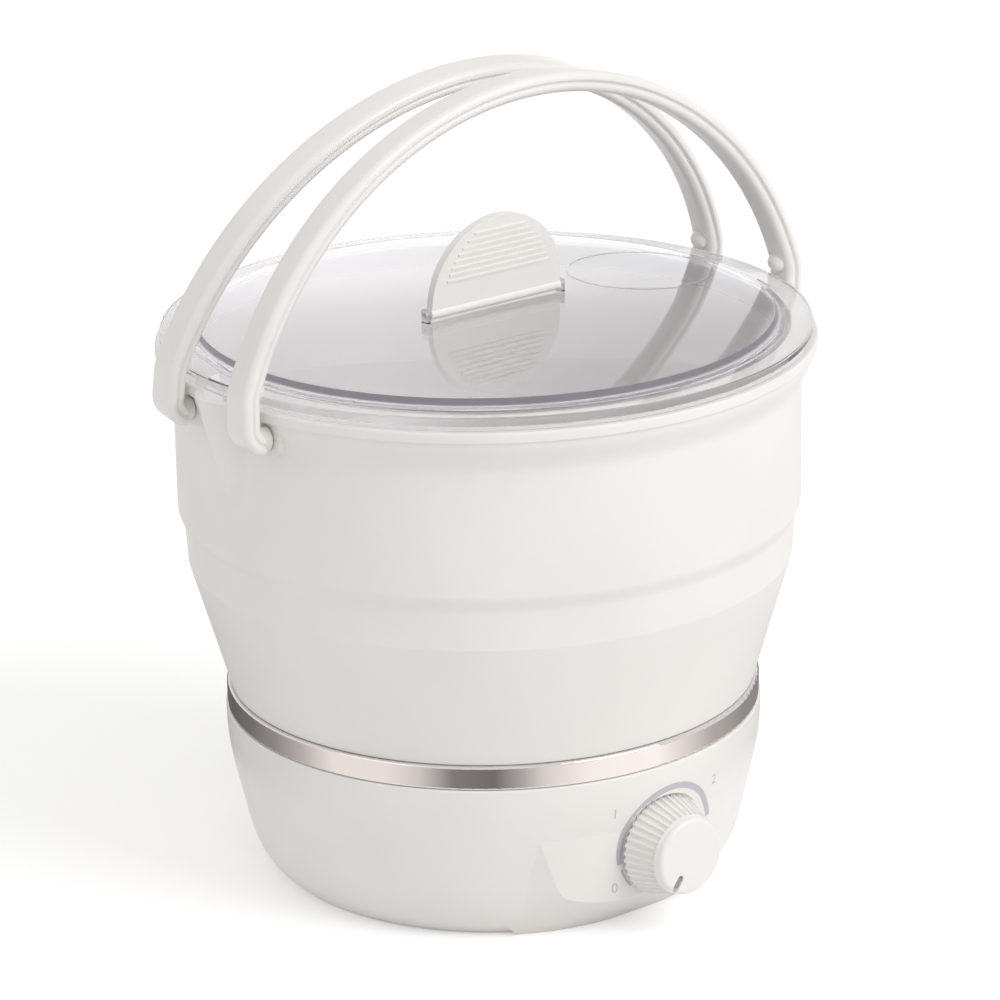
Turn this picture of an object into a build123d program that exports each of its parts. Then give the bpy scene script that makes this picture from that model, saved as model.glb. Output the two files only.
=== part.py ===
"""Foldable electric cooking pot.

A rigid heated base carries a soft wall that folds down over it, a stiffened rim with two
carrying handles and a pouring lip, and a clear lift-off lid with a folding tab.
All lengths are millimetres, up is +Z, and the control knob faces -Y.
"""
import os
from math import atan2, cos, degrees, radians, sin, sqrt, tan

from build123d import *

os.makedirs("parts", exist_ok=True)

# Clearances and overruns
slip = 0.05
touch_gap = 0.3
overrun = 2.0
half_share = 0.5
quarter_turn = 90.0
full_turn = 360.0

# Base shell
base_height = 49.0
base_top_radius = 78.0
base_floor_height = 0.2
base_floor_inset = 14.0
heel_inset = 8.8
heel_height = 5.8
belly_inset = 3.8
belly_drop = 27.0
shoulder_inset = 1.0
shoulder_drop = 14.0
shell_wall = 2.5
shell_flange = 2.5
flange_bore_inset = 16.0
cover_ledge_width = 6.0
cover_ledge_height = 4.0
cover_ledge_top = 6.8

# Raised control panel at the front
panel_top_half = 44.0
panel_top_rise = 11.0
panel_side_half = 32.2
panel_side_low = 8.9
panel_foot_half = 14.0
panel_foot_low = 2.5
panel_root_depth = 23.0
panel_edge_inset = 11.6
panel_reach = 24.0
panel_draft = 45.0
panel_corner = 16.0
panel_foot_round = 30.0
panel_foot_inset = 3.6
panel_crown_inset = 0.4
knob_drop = 24.3
knob_seat_inset = 2.0
knob_seat_slack = 0.8
base_edge_round = 0.5
bush_hole_radius = 4.1

# Inlet boss at the back
inlet_drop = 23.0
inlet_boss_root_depth = 28.0
inlet_boss_proud = 0.2
inlet_boss_width = 48.0
inlet_boss_tall = 28.0
inlet_boss_corner = 6.0

# Bottom cover, its screws and feet
cover_low = 1.4
cover_inset = 5.3
cover_screw_count = 4
cover_screw_turn = 45.0
cover_head_radius = 2.7
cover_head_height = 1.3
screw_radius = 1.45
screw_hole_radius = 1.5
cover_boss_radius = 3.8
cover_boss_top = 16.0
cover_screw_tip = 14.0
foot_inset = 7.0
foot_count = 4
foot_radius = 6.0
foot_round = 0.6
foot_pocket_radius = 6.1
vent_circle_radius = 24.0
vent_count = 8
vent_length = 18.0
vent_width = 2.6

# Trim ring and the stack that clamps the soft wall
trim_height = 7.0
trim_inset = 0.4
trim_edge_round = 0.8
gasket_width = 9.9
plate_inset = 5.1
plate_slack = 0.4
gasket_thickness = 1.8
plate_thickness = 2.0
plate_bead_inset = 4.0
plate_bead_width = 3.0
plate_bead_height = 0.8
wall_foot_thickness = 3.0
wall_foot_width = 8.9
clamp_thickness = 1.5
clamp_inset = 2.5
clamp_screw_count = 6
clamp_head_radius = 2.8
clamp_head_height = 1.6
clamp_boss_radius = 3.7
clamp_boss_depth = 13.0
clamp_screw_depth = 11.0

# Heater under the plate
spreader_inset = 8.0
spreader_thickness = 4.5
element_inset = 12.0
element_tube_radius = 3.2
element_sweep_angle = 320.0
element_drop = 1.2
element_pin_radius = 1.6
element_pin_length = 11.0
groove_slack = 0.1

# Limit thermostat, its strap and the fuse
thermostat_radius = 8.0
thermostat_height = 9.0
blade_reach = 5.0
blade_width = 4.0
blade_thickness = 0.8
blade_length = 5.0
strap_length = 44.0
strap_width = 7.0
strap_thickness = 1.0
fuse_radius = 2.3
fuse_length = 11.0
strap_hole_radius = 8.1

# Rotary control behind the panel
control_inset = 7.4
control_depth = 19.0
control_width = 24.0
control_headroom = 27.0
control_edge = 1.5
bush_radius = 4.0
bush_proud = 3.0
shaft_radius = 3.0
shaft_sink = 8.6
shaft_proud = 10.0
nut_across = 11.0
nut_thickness = 2.2
control_tag_reach = 5.0
control_tag_length = 4.0
control_tag_width = 4.0
control_tag_thickness = 0.8

# Knob
knob_gap = 0.4
knob_base_radius = 14.5
knob_band = 0.8
knob_neck_radius = 11.3
knob_neck = 10.6
knob_face_round = 1.3
knob_length = 12.2
knob_flute_count = 40
knob_flute_radius = 0.8
knob_flute_length = 10.0
knob_flute_proud = 0.3
knob_cavity_radius = 9.5
knob_cavity_depth = 5.0
knob_bore_slack = 0.02
pointer_turn = 234.0
pointer_width = 2.1
pointer_depth = 1.6
pointer_sink = 0.7
pointer_start = 7.0
pointer_end = 9.6

# Power inlet
inlet_flange_width = 42.0
inlet_flange_tall = 21.0
inlet_flange_thickness = 1.8
inlet_flange_corner = 3.0
inlet_body_width = 28.0
inlet_body_tall = 18.0
inlet_body_depth = 22.0
inlet_fit = 0.2
socket_width = 24.0
socket_tall = 14.0
socket_corner = 3.0
socket_depth = 16.5
inlet_pin_radius = 1.6
inlet_pin_spacing = 7.0
inlet_pin_rise = 2.0
inlet_pin_drop = 2.0
inlet_pin_proud = 13.5
inlet_pin_tail = 6.0
inlet_screw_spacing = 35.0
inlet_head_radius = 2.6
inlet_head_height = 1.4
inlet_screw_length = 12.2

# Internal wiring
wire_radius = 1.0
wire_bend = 2.5
fuse_lead_drop = 3.8
earth_tag_inset = 12.0
neutral_lead_run = 4.0

# Soft lower wall
wall_thickness = 3.0
wall_neck = 2.1
cone_low_inset = 1.2
cone_top_height = 94.0
wall_seat_gap = 0.05
wall_screw_slack = 1.6

# Soft upper wall with its rim
upper_radius = 89.6
band_rise = 10.6
band_inset = 1.8
band_lean = 0.6
step_rise = 5.8
rim_top = 158.3
rim_overhang = 4.6
rim_edge_drop = 2.2
rim_flare_drop = 13.5

# Pouring lip at -X
spout_depth = 30.3
spout_tip_radius = 2.6
spout_tip_inset = 1.0
spout_mouth_radius = 11.0
spout_mouth_inset = 2.1
spout_wall = 2.2
spout_gap = 13.0

# Stiff frame inside the rim, with the handle ears
frame_thickness = 1.6
frame_depth = 11.2
frame_top_drop = 1.1
ear_spacing = 36.6
ear_width = 11.0
ear_top_drop = 3.3
ear_proud = 0.6
pivot_drop = 7.8
pin_radius = 2.0
pin_root_gap = 0.2
pin_reach = 6.8

# Carrying handles
front_lean = -1.6
rear_lean = 10.2
handle_flange = 2.7
handle_groove = 0.8
handle_rib = 2.5
handle_width = 10.0
handle_neck_width = 6.0
handle_rib_width = 9.4
handle_shoulder = 13.7
handle_arch_drop = 19.4
handle_round = 2.2
handle_kink_round = 16.0
handle_rib_round = 0.8
hook_drop = 3.8
hook_round = 8.4
hook_inset = 0.8
collar_radius = 3.6
collar_length = 4.1
bore_end_gap = 0.4
ball_radius = 2.9
ball_proud = 0.4
ball_rise = 14.1

# Lid
lid_edge_inset = 1.4
lid_flange_thickness = 3.9
lid_edge_round = 0.5
lid_bevel_inset = 2.0
lid_bevel_rise = 2.0
lid_sag = 2.2
lid_thickness = 2.4
lid_fit_gap = 0.6
lid_skirt_depth = 5.8
lid_skirt_thickness = 2.2
lid_groove_inset = 0.4
lid_groove_width = 0.8
lid_groove_depth = 0.4
lid_ring_inset = 3.5
lid_ring_radius = 21.5
lid_ring_width = 0.7
lid_ring_proud = 0.25

# Folding tab on the lid
tab_hinge_rise = 10.2
tab_forward = 3.7
tab_lean = -6.0
tab_radius = 23.0
tab_straight = 2.7
tab_thickness = 2.4
tab_barrel_radius = 1.7
tab_barrel_length = 46.4
tab_rib_count = 8
tab_rib_first = 9.0
tab_rib_step = 1.8
tab_rib_height = 0.7
tab_rib_proud = 0.35
tab_rib_margin = 4.0
tab_pin_radius = 0.75
tab_pin_length = 49.4
lug_gap = 0.4
lug_width = 1.2
lug_depth = 2.8
lug_root_rise = 6.3
lug_rise = 11.5

# Radii and depths that follow the width of the base
base_floor_radius = base_top_radius - base_floor_inset
heel_radius = base_top_radius - heel_inset
belly_radius = base_top_radius - belly_inset
shoulder_radius = base_top_radius - shoulder_inset
flange_bore_radius = base_top_radius - flange_bore_inset
cover_radius = base_floor_radius - cover_inset
cover_bore_radius = cover_radius + touch_gap
cover_ledge_radius = cover_bore_radius - cover_ledge_width
cover_screw_circle_radius = (cover_bore_radius + cover_ledge_radius) * half_share
foot_circle_radius = cover_ledge_radius - foot_inset
trim_outer_radius = base_top_radius - trim_inset
plate_edge_radius = base_top_radius - plate_inset
trim_inner_radius = plate_edge_radius + plate_slack
gasket_inner_radius = plate_edge_radius - gasket_width
wall_foot_inner_radius = plate_edge_radius - wall_foot_width
clamp_outer_radius = plate_edge_radius - clamp_inset
clamp_screw_circle_radius = (clamp_outer_radius + wall_foot_inner_radius) * half_share
plate_bead_radius = wall_foot_inner_radius - plate_bead_inset
spreader_radius = flange_bore_radius - spreader_inset
element_circle_radius = spreader_radius - element_inset
earth_tag_reach = element_circle_radius - earth_tag_inset
cone_low_radius = trim_outer_radius - cone_low_inset
panel_root = base_top_radius - panel_root_depth
panel_edge_reach = base_top_radius - panel_edge_inset
knob_seat_depth = base_top_radius - knob_seat_inset
knob_back = knob_seat_depth + knob_gap
knob_seat_radius = knob_base_radius + knob_seat_slack
control_front = knob_seat_depth - control_inset
bush_tip = knob_seat_depth + bush_proud
shaft_tail = control_front - shaft_sink
shaft_tip = knob_seat_depth + shaft_proud
inlet_boss_root = base_top_radius - inlet_boss_root_depth
inlet_boss_face = base_top_radius + inlet_boss_proud
inlet_screw_tip = inlet_boss_face - inlet_screw_length

# Heights in the base and of the clamped stack
belly_height = base_height - belly_drop
shoulder_height = base_height - shoulder_drop
control_tall = base_height - control_headroom
knob_height = base_height - knob_drop
inlet_height = base_height - inlet_drop
clamp_boss_low = base_height - clamp_boss_depth
clamp_screw_tip = base_height - clamp_screw_depth
trim_top = base_height + trim_height
gasket_top = base_height + gasket_thickness
plate_top = gasket_top + plate_thickness
foot_top = plate_top + wall_foot_thickness
clamp_top = foot_top + clamp_thickness
spreader_low = gasket_top - spreader_thickness
element_height = spreader_low - element_drop
thermostat_low = spreader_low - thermostat_height
flange_low = base_height - shell_flange
wall_low = trim_top + wall_seat_gap

# Radii that follow the width of the pot
pot_bore = upper_radius - wall_thickness
band_top_radius = upper_radius - band_inset
cone_top_radius = band_top_radius - band_lean
rim_radius = upper_radius + rim_overhang
spout_centre = upper_radius - spout_mouth_inset
spout_tip_centre = upper_radius - spout_tip_inset
ear_face = upper_radius + ear_proud
pin_root = pot_bore + pin_root_gap
pin_tip = ear_face + pin_reach
bore_tip = pin_tip + bore_end_gap
lid_radius = rim_radius - lid_edge_inset
lid_skirt_radius = pot_bore - lid_fit_gap
lid_bevel_radius = lid_skirt_radius - lid_bevel_inset
lid_plate_radius = lid_bevel_radius - lid_bevel_inset
lid_groove_radius = lid_skirt_radius - lid_groove_inset

# Heights that follow the fold line and the rim
band_top_height = cone_top_height + band_rise
step_top_height = band_top_height + step_rise
rim_flare_height = rim_top - rim_flare_drop
rim_edge_height = rim_top - rim_edge_drop
spout_low = rim_top - spout_depth
frame_top = rim_top - frame_top_drop
frame_low = frame_top - frame_depth
ear_top = rim_top - ear_top_drop
pivot_height = rim_top - pivot_drop
lid_flange_top = rim_top + lid_flange_thickness
lid_plate_edge = lid_flange_top + lid_bevel_rise
lid_crown = lid_plate_edge + lid_sag
lid_skirt_low = rim_top - lid_skirt_depth
tab_hinge_height = rim_top + tab_hinge_rise
lug_low = rim_top + lug_root_rise
lug_top = rim_top + lug_rise

panel_growth = (panel_edge_reach - panel_root) * tan(radians(panel_draft))
panel_top = base_height + panel_top_rise

# Outline of the control panel, at the depth where it leaves the shell
with BuildSketch() as panel_outline:
    with BuildLine():
        Polyline(
            (-panel_top_half, panel_top),
            (-panel_side_half, panel_side_low),
            (-panel_foot_half, panel_foot_low),
            (panel_foot_half, panel_foot_low),
            (panel_side_half, panel_side_low),
            (panel_top_half, panel_top),
            close=True,
        )
    make_face()
    fillet(panel_outline.vertices().group_by(Axis.Y)[0], panel_foot_round)
    fillet([spot for spot in panel_outline.vertices() if abs(spot.Y - panel_side_low) < slip], panel_corner)


# Base housing
with BuildPart() as base_housing:
    with BuildSketch(Plane.XZ.offset(panel_root)):
        offset(panel_outline.sketch, amount=panel_growth)
    extrude(amount=panel_reach, taper=panel_draft)
    with BuildSketch(Plane.XZ):
        with BuildLine():
            Polyline(
                (0, 0),
                (base_top_radius - panel_foot_inset, 0),
                (base_top_radius - panel_crown_inset, base_height),
                (0, base_height),
                close=True,
            )
        make_face()
    revolve(axis=Axis.Z, mode=Mode.INTERSECT)
    with BuildSketch(Plane.XZ.offset(-inlet_boss_root)):
        with Locations((0, inlet_height)):
            RectangleRounded(inlet_boss_width, inlet_boss_tall, inlet_boss_corner)
    extrude(amount=inlet_boss_root - inlet_boss_face)
    with BuildSketch(Plane.XZ):
        with BuildLine():
            Line((0, base_floor_height), (base_floor_radius, base_floor_height))
            Spline(
                (base_floor_radius, base_floor_height),
                (heel_radius, heel_height),
                (belly_radius, belly_height),
                (shoulder_radius, shoulder_height),
                (base_top_radius, base_height),
            )
            Line((base_top_radius, base_height), (0, base_height))
            Line((0, base_height), (0, base_floor_height))
        make_face()
    revolve(axis=Axis.Z)
    rim_circles = base_housing.edges().filter_by(GeomType.CIRCLE).group_by(Axis.Z)[-1]
    fillet(rim_circles, base_edge_round)
    with BuildSketch(Plane.XZ):
        with BuildLine():
            Line((0, cover_ledge_top), (heel_radius - shell_wall, cover_ledge_top))
            Spline(
                (heel_radius - shell_wall, cover_ledge_top),
                (belly_radius - shell_wall, belly_height),
                (shoulder_radius - shell_wall, shoulder_height),
                (base_top_radius - shell_wall, flange_low),
            )
            Line((base_top_radius - shell_wall, flange_low), (0, flange_low))
            Line((0, flange_low), (0, cover_ledge_top))
        make_face()
    revolve(axis=Axis.Z, mode=Mode.SUBTRACT)
    with BuildSketch(Plane.XY.offset(flange_low)):
        Circle(flange_bore_radius)
    extrude(amount=shell_flange, mode=Mode.SUBTRACT)
    with BuildSketch(Plane.XY):
        Circle(cover_bore_radius)
    extrude(amount=cover_ledge_height, mode=Mode.SUBTRACT)
    with BuildSketch(Plane.XY):
        Circle(cover_ledge_radius)
    extrude(amount=cover_ledge_top, mode=Mode.SUBTRACT)
    with BuildSketch(Plane.XY.offset(cover_ledge_height)):
        with PolarLocations(cover_screw_circle_radius, cover_screw_count, cover_screw_turn):
            Circle(cover_boss_radius)
    extrude(amount=cover_boss_top - cover_ledge_height)
    with BuildSketch(Plane.XY.offset(clamp_boss_low)):
        with PolarLocations(clamp_screw_circle_radius, clamp_screw_count):
            Circle(clamp_boss_radius)
    extrude(amount=flange_low - clamp_boss_low)
    with BuildSketch(Plane.XY.offset(cover_ledge_height)):
        with PolarLocations(cover_screw_circle_radius, cover_screw_count, cover_screw_turn):
            Circle(screw_hole_radius)
    extrude(amount=cover_screw_tip - cover_ledge_height, mode=Mode.SUBTRACT)
    with BuildSketch(Plane.XY.offset(clamp_boss_low)):
        with PolarLocations(clamp_screw_circle_radius, clamp_screw_count):
            Circle(screw_hole_radius)
    extrude(amount=base_height - clamp_boss_low, mode=Mode.SUBTRACT)
    with BuildSketch(Plane.XZ.offset(knob_seat_depth)):
        with Locations((0, knob_height)):
            Circle(knob_seat_radius)
    extrude(amount=knob_seat_radius, mode=Mode.SUBTRACT)
    with BuildSketch(Plane.XZ.offset(panel_root)):
        with Locations((0, knob_height)):
            Circle(bush_hole_radius)
    extrude(amount=panel_reach, mode=Mode.SUBTRACT)
    with BuildSketch(Plane.XZ.offset(-inlet_boss_root)):
        with Locations((0, inlet_height)):
            Rectangle(inlet_body_width + inlet_fit + inlet_fit, inlet_body_tall + inlet_fit + inlet_fit)
    extrude(amount=inlet_boss_root - inlet_boss_face - overrun, mode=Mode.SUBTRACT)
    with BuildSketch(Plane.XZ.offset(-inlet_boss_face)):
        with Locations((0, inlet_height)):
            with GridLocations(inlet_screw_spacing, 0, 2, 1):
                Circle(screw_hole_radius)
    extrude(amount=inlet_boss_face - inlet_screw_tip, mode=Mode.SUBTRACT)
base_housing.part.label = "base_housing"
export_step(base_housing.part, "parts/base_housing.step")


# Bottom cover
with BuildPart() as bottom_cover:
    with BuildSketch(Plane.XY.offset(cover_low)):
        Circle(cover_radius)
        with PolarLocations(cover_screw_circle_radius, cover_screw_count, cover_screw_turn):
            Circle(screw_hole_radius, mode=Mode.SUBTRACT)
        with PolarLocations(vent_circle_radius, vent_count):
            SlotOverall(vent_length, vent_width, mode=Mode.SUBTRACT)
    extrude(amount=cover_ledge_height - cover_low)
    with BuildSketch(Plane.XY.offset(cover_low)):
        with PolarLocations(cover_screw_circle_radius, cover_screw_count, cover_screw_turn):
            Circle(cover_head_radius + slip)
        with PolarLocations(foot_circle_radius, foot_count):
            Circle(foot_pocket_radius)
    extrude(amount=cover_head_height, mode=Mode.SUBTRACT)
bottom_cover.part.label = "bottom_cover"
export_step(bottom_cover.part, "parts/bottom_cover.step")


# Feet
with BuildPart() as feet:
    with BuildSketch(Plane.XY):
        with PolarLocations(foot_circle_radius, foot_count):
            Circle(foot_radius)
    extrude(amount=cover_low + cover_head_height)
    fillet(feet.edges().group_by(Axis.Z)[0], foot_round)
feet.part.label = "feet"
export_step(feet.part, "parts/feet.step")


# Screws that hold the bottom cover
with BuildPart() as cover_screws:
    with BuildSketch(Plane.XY.offset(cover_low)):
        with PolarLocations(cover_screw_circle_radius, cover_screw_count, cover_screw_turn):
            Circle(cover_head_radius)
    extrude(amount=cover_head_height)
    with BuildSketch(Plane.XY.offset(cover_low)):
        with PolarLocations(cover_screw_circle_radius, cover_screw_count, cover_screw_turn):
            Circle(screw_radius)
    extrude(amount=cover_screw_tip - cover_low)
cover_screws.part.label = "cover_screws"
export_step(cover_screws.part, "parts/cover_screws.step")


# Bright trim ring between base and wall
with BuildPart() as trim_ring:
    with BuildSketch(Plane.XY.offset(base_height)):
        Circle(trim_outer_radius)
        Circle(trim_inner_radius, mode=Mode.SUBTRACT)
    extrude(amount=trim_height)
    fillet(trim_ring.edges().filter_by(GeomType.CIRCLE).group_by(SortBy.RADIUS)[-1], trim_edge_round)
trim_ring.part.label = "trim_ring"
export_step(trim_ring.part, "parts/trim_ring.step")


# Heat-resisting gasket under the plate
with BuildPart() as plate_gasket:
    with BuildSketch(Plane.XY.offset(base_height)):
        Circle(plate_edge_radius)
        Circle(gasket_inner_radius, mode=Mode.SUBTRACT)
        with PolarLocations(clamp_screw_circle_radius, clamp_screw_count):
            Circle(screw_hole_radius, mode=Mode.SUBTRACT)
    extrude(amount=gasket_thickness)
plate_gasket.part.label = "plate_gasket"
export_step(plate_gasket.part, "parts/plate_gasket.step")


# Steel hot plate, the floor of the pot
with BuildPart() as hot_plate:
    with BuildSketch(Plane.XY.offset(gasket_top)):
        Circle(plate_edge_radius)
        with PolarLocations(clamp_screw_circle_radius, clamp_screw_count):
            Circle(screw_hole_radius, mode=Mode.SUBTRACT)
    extrude(amount=plate_thickness)
    with BuildSketch(Plane.XY.offset(plate_top)):
        Circle(plate_bead_radius)
        Circle(plate_bead_radius - plate_bead_width, mode=Mode.SUBTRACT)
    extrude(amount=plate_bead_height)
hot_plate.part.label = "hot_plate"
export_step(hot_plate.part, "parts/hot_plate.step")


# Ring that clamps the foot of the soft wall
with BuildPart() as wall_clamp_ring:
    with BuildSketch(Plane.XY.offset(foot_top)):
        Circle(clamp_outer_radius)
        Circle(wall_foot_inner_radius, mode=Mode.SUBTRACT)
        with PolarLocations(clamp_screw_circle_radius, clamp_screw_count):
            Circle(screw_hole_radius, mode=Mode.SUBTRACT)
    extrude(amount=clamp_thickness)
wall_clamp_ring.part.label = "wall_clamp_ring"
export_step(wall_clamp_ring.part, "parts/wall_clamp_ring.step")


# Screws through the clamped stack
with BuildPart() as clamp_screws:
    with BuildSketch(Plane.XY.offset(clamp_top)):
        with PolarLocations(clamp_screw_circle_radius, clamp_screw_count):
            Circle(clamp_head_radius)
    extrude(amount=clamp_head_height)
    with BuildSketch(Plane.XY.offset(clamp_screw_tip)):
        with PolarLocations(clamp_screw_circle_radius, clamp_screw_count):
            Circle(screw_radius)
    extrude(amount=clamp_top - clamp_screw_tip)
clamp_screws.part.label = "clamp_screws"
export_step(clamp_screws.part, "parts/clamp_screws.step")


# Aluminium heat spreader
with BuildPart() as heat_spreader:
    with BuildSketch(Plane.XY.offset(spreader_low)):
        Circle(spreader_radius)
    extrude(amount=spreader_thickness)
    with BuildSketch(Plane.XZ):
        with Locations((element_circle_radius, element_height)):
            Circle(element_tube_radius + groove_slack)
    revolve(axis=Axis.Z, mode=Mode.SUBTRACT)
heat_spreader.part.label = "heat_spreader"
export_step(heat_spreader.part, "parts/heat_spreader.step")


# Tubular heating element with its two pins at the back
element_half_gap = (full_turn - element_sweep_angle) * half_share
element_start = quarter_turn + element_half_gap
element_end = quarter_turn - element_half_gap
element_pin_x = element_circle_radius * sin(radians(element_half_gap))
element_pin_y = element_circle_radius * cos(radians(element_half_gap))
element_pin_low = element_height - element_pin_length
with BuildPart() as heating_element:
    with BuildLine():
        CenterArc((0, 0, element_height), element_circle_radius, element_start, element_sweep_angle)
    with BuildSketch(
        Plane(
            origin=(-element_pin_x, element_pin_y, element_height),
            x_dir=(0, 0, 1),
            z_dir=(-cos(radians(element_half_gap)), -sin(radians(element_half_gap)), 0),
        )
    ):
        Circle(element_tube_radius)
    sweep()
    with BuildSketch(Plane.XY.offset(element_pin_low)):
        with GridLocations(element_pin_x + element_pin_x, 0, 2, 1):
            with Locations((0, element_pin_y)):
                Circle(element_pin_radius)
    extrude(amount=element_pin_length)
heating_element.part.label = "heating_element"
export_step(heating_element.part, "parts/heating_element.step")


# Limit thermostat pressed against the spreader
with BuildPart() as limit_thermostat:
    with BuildSketch(Plane.XY.offset(thermostat_low)):
        Circle(thermostat_radius)
    extrude(amount=thermostat_height)
    with BuildSketch(Plane.XY.offset(thermostat_low - blade_length)):
        with GridLocations(blade_reach + blade_reach, 0, 2, 1):
            Rectangle(blade_thickness, blade_width)
    extrude(amount=blade_length)
limit_thermostat.part.label = "limit_thermostat"
export_step(limit_thermostat.part, "parts/limit_thermostat.step")


# Spring strap around the thermostat
strap_low = spreader_low - strap_thickness
with BuildPart() as thermostat_strap:
    with BuildSketch(Plane.XY.offset(strap_low)):
        RectangleRounded(strap_length, strap_width, strap_width * half_share - slip)
        Circle(strap_hole_radius + strap_thickness + strap_thickness)
        Circle(strap_hole_radius, mode=Mode.SUBTRACT)
    extrude(amount=strap_thickness)
thermostat_strap.part.label = "thermostat_strap"
export_step(thermostat_strap.part, "parts/thermostat_strap.step")


# Rotary control
with BuildPart() as control_body:
    with BuildSketch(Plane.XZ.offset(control_front - control_depth)):
        with Locations((0, knob_height)):
            RectangleRounded(control_width, control_tall, control_edge)
    extrude(amount=control_depth)
    with BuildSketch(Plane.XZ.offset(control_front)):
        with Locations((0, knob_height)):
            Circle(bush_radius)
    extrude(amount=bush_tip - control_front)
    with BuildSketch(Plane.XZ.offset(control_front - control_depth - control_tag_length)):
        with Locations((0, knob_height)):
            with GridLocations(control_tag_reach + control_tag_reach, 0, 2, 1):
                Rectangle(control_tag_thickness, control_tag_width)
    extrude(amount=control_tag_length)
    with BuildSketch(Plane.XZ.offset(shaft_tail)):
        with Locations((0, knob_height)):
            Circle(shaft_radius + slip)
    extrude(amount=shaft_tip - shaft_tail, mode=Mode.SUBTRACT)
control_body.part.label = "control_body"
export_step(control_body.part, "parts/control_body.step")


# Nut that holds the control to the panel
with BuildPart() as control_nut:
    with BuildSketch(Plane.XZ.offset(knob_seat_depth)):
        with Locations((0, knob_height)):
            RegularPolygon(nut_across * half_share, 6, major_radius=False)
            Circle(bush_radius + slip, mode=Mode.SUBTRACT)
    extrude(amount=nut_thickness)
control_nut.part.label = "control_nut"
export_step(control_nut.part, "parts/control_nut.step")


# Control shaft
with BuildPart() as control_shaft:
    with BuildSketch(Plane.XZ.offset(shaft_tail + slip)):
        with Locations((0, knob_height)):
            Circle(shaft_radius)
    extrude(amount=shaft_tip - shaft_tail - slip)
control_shaft.part.label = "control_shaft"
export_step(control_shaft.part, "parts/control_shaft.step")


# Knob with fluted sides
knob_plane = Plane(origin=(0, -knob_back, knob_height), x_dir=(1, 0, 0), z_dir=(0, -1, 0))
knob_taper = degrees(atan2(knob_base_radius - knob_neck_radius, knob_neck - knob_band))
low_end = (Align.CENTER, Align.CENTER, Align.MIN)
pointer_floor = knob_length - pointer_depth
with BuildPart(knob_plane) as knob:
    Cylinder(knob_base_radius, knob_band, align=low_end)
    with Locations((0, 0, knob_band)):
        Cone(knob_base_radius, knob_neck_radius, knob_neck - knob_band, align=low_end)
    with Locations((0, 0, knob_neck)):
        Cylinder(knob_neck_radius, knob_length - knob_neck, align=low_end)
    fillet(knob.edges().sort_by(Axis.Y)[0], knob_face_round)
    with PolarLocations(knob_base_radius + knob_flute_proud, knob_flute_count):
        Cylinder(
            knob_flute_radius,
            knob_flute_length,
            rotation=(0, -knob_taper, 0),
            align=low_end,
            mode=Mode.SUBTRACT,
        )
    Cylinder(knob_cavity_radius, knob_cavity_depth, align=low_end, mode=Mode.SUBTRACT)
    Cylinder(shaft_radius + knob_bore_slack, shaft_tip - knob_back, align=low_end, mode=Mode.SUBTRACT)
    with BuildSketch(knob_plane.offset(pointer_floor)):
        with PolarLocations(pointer_start, 1, pointer_turn):
            Circle(pointer_width * half_share)
            Rectangle(knob_neck_radius, pointer_width, align=(Align.MIN, Align.CENTER))
    extrude(amount=pointer_depth, mode=Mode.SUBTRACT)
knob.part.label = "knob"
export_step(knob.part, "parts/knob.step")


# Pointer inlaid in the open slot of the knob
with BuildPart() as knob_pointer:
    with BuildSketch(knob_plane.offset(pointer_floor)):
        with PolarLocations(pointer_start, 1, pointer_turn):
            Circle(pointer_width * half_share - slip)
            Rectangle(pointer_end - pointer_start, pointer_width - slip - slip, align=(Align.MIN, Align.CENTER))
    extrude(amount=pointer_depth - pointer_sink)
knob_pointer.part.label = "knob_pointer"
export_step(knob_pointer.part, "parts/knob_pointer.step")


# Power inlet
inlet_face = inlet_boss_face + inlet_flange_thickness
socket_floor = inlet_face - socket_depth
inlet_back = inlet_boss_face - inlet_body_depth
pin_row = [
    (-inlet_pin_spacing, inlet_height - inlet_pin_drop),
    (0, inlet_height + inlet_pin_rise),
    (inlet_pin_spacing, inlet_height - inlet_pin_drop),
]
with BuildPart() as power_inlet:
    with BuildSketch(Plane.XZ.offset(-inlet_face)):
        with Locations((0, inlet_height)):
            RectangleRounded(inlet_flange_width, inlet_flange_tall, inlet_flange_corner)
    extrude(amount=inlet_flange_thickness)
    with BuildSketch(Plane.XZ.offset(-inlet_boss_face)):
        with Locations((0, inlet_height)):
            Rectangle(inlet_body_width, inlet_body_tall)
    extrude(amount=inlet_body_depth)
    with BuildSketch(Plane.XZ.offset(-inlet_face)):
        with Locations((0, inlet_height)):
            RectangleRounded(socket_width, socket_tall, socket_corner)
    extrude(amount=socket_depth, mode=Mode.SUBTRACT)
    with BuildSketch(Plane.XZ.offset(-inlet_face)):
        with Locations((0, inlet_height)):
            with GridLocations(inlet_screw_spacing, 0, 2, 1):
                Circle(screw_hole_radius)
    extrude(amount=inlet_flange_thickness, mode=Mode.SUBTRACT)
    with BuildSketch(Plane.XZ.offset(-socket_floor)):
        with Locations(*pin_row):
            Circle(inlet_pin_radius)
    extrude(amount=socket_floor - inlet_back, mode=Mode.SUBTRACT)
power_inlet.part.label = "power_inlet"
export_step(power_inlet.part, "parts/power_inlet.step")


# Inlet pins
pin_end = socket_floor + inlet_pin_proud
pin_tail_end = inlet_back - inlet_pin_tail
with BuildPart() as inlet_pins:
    with BuildSketch(Plane.XZ.offset(-pin_end)):
        with Locations(*pin_row):
            Circle(inlet_pin_radius - slip)
    extrude(amount=pin_end - pin_tail_end)
inlet_pins.part.label = "inlet_pins"
export_step(inlet_pins.part, "parts/inlet_pins.step")


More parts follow.
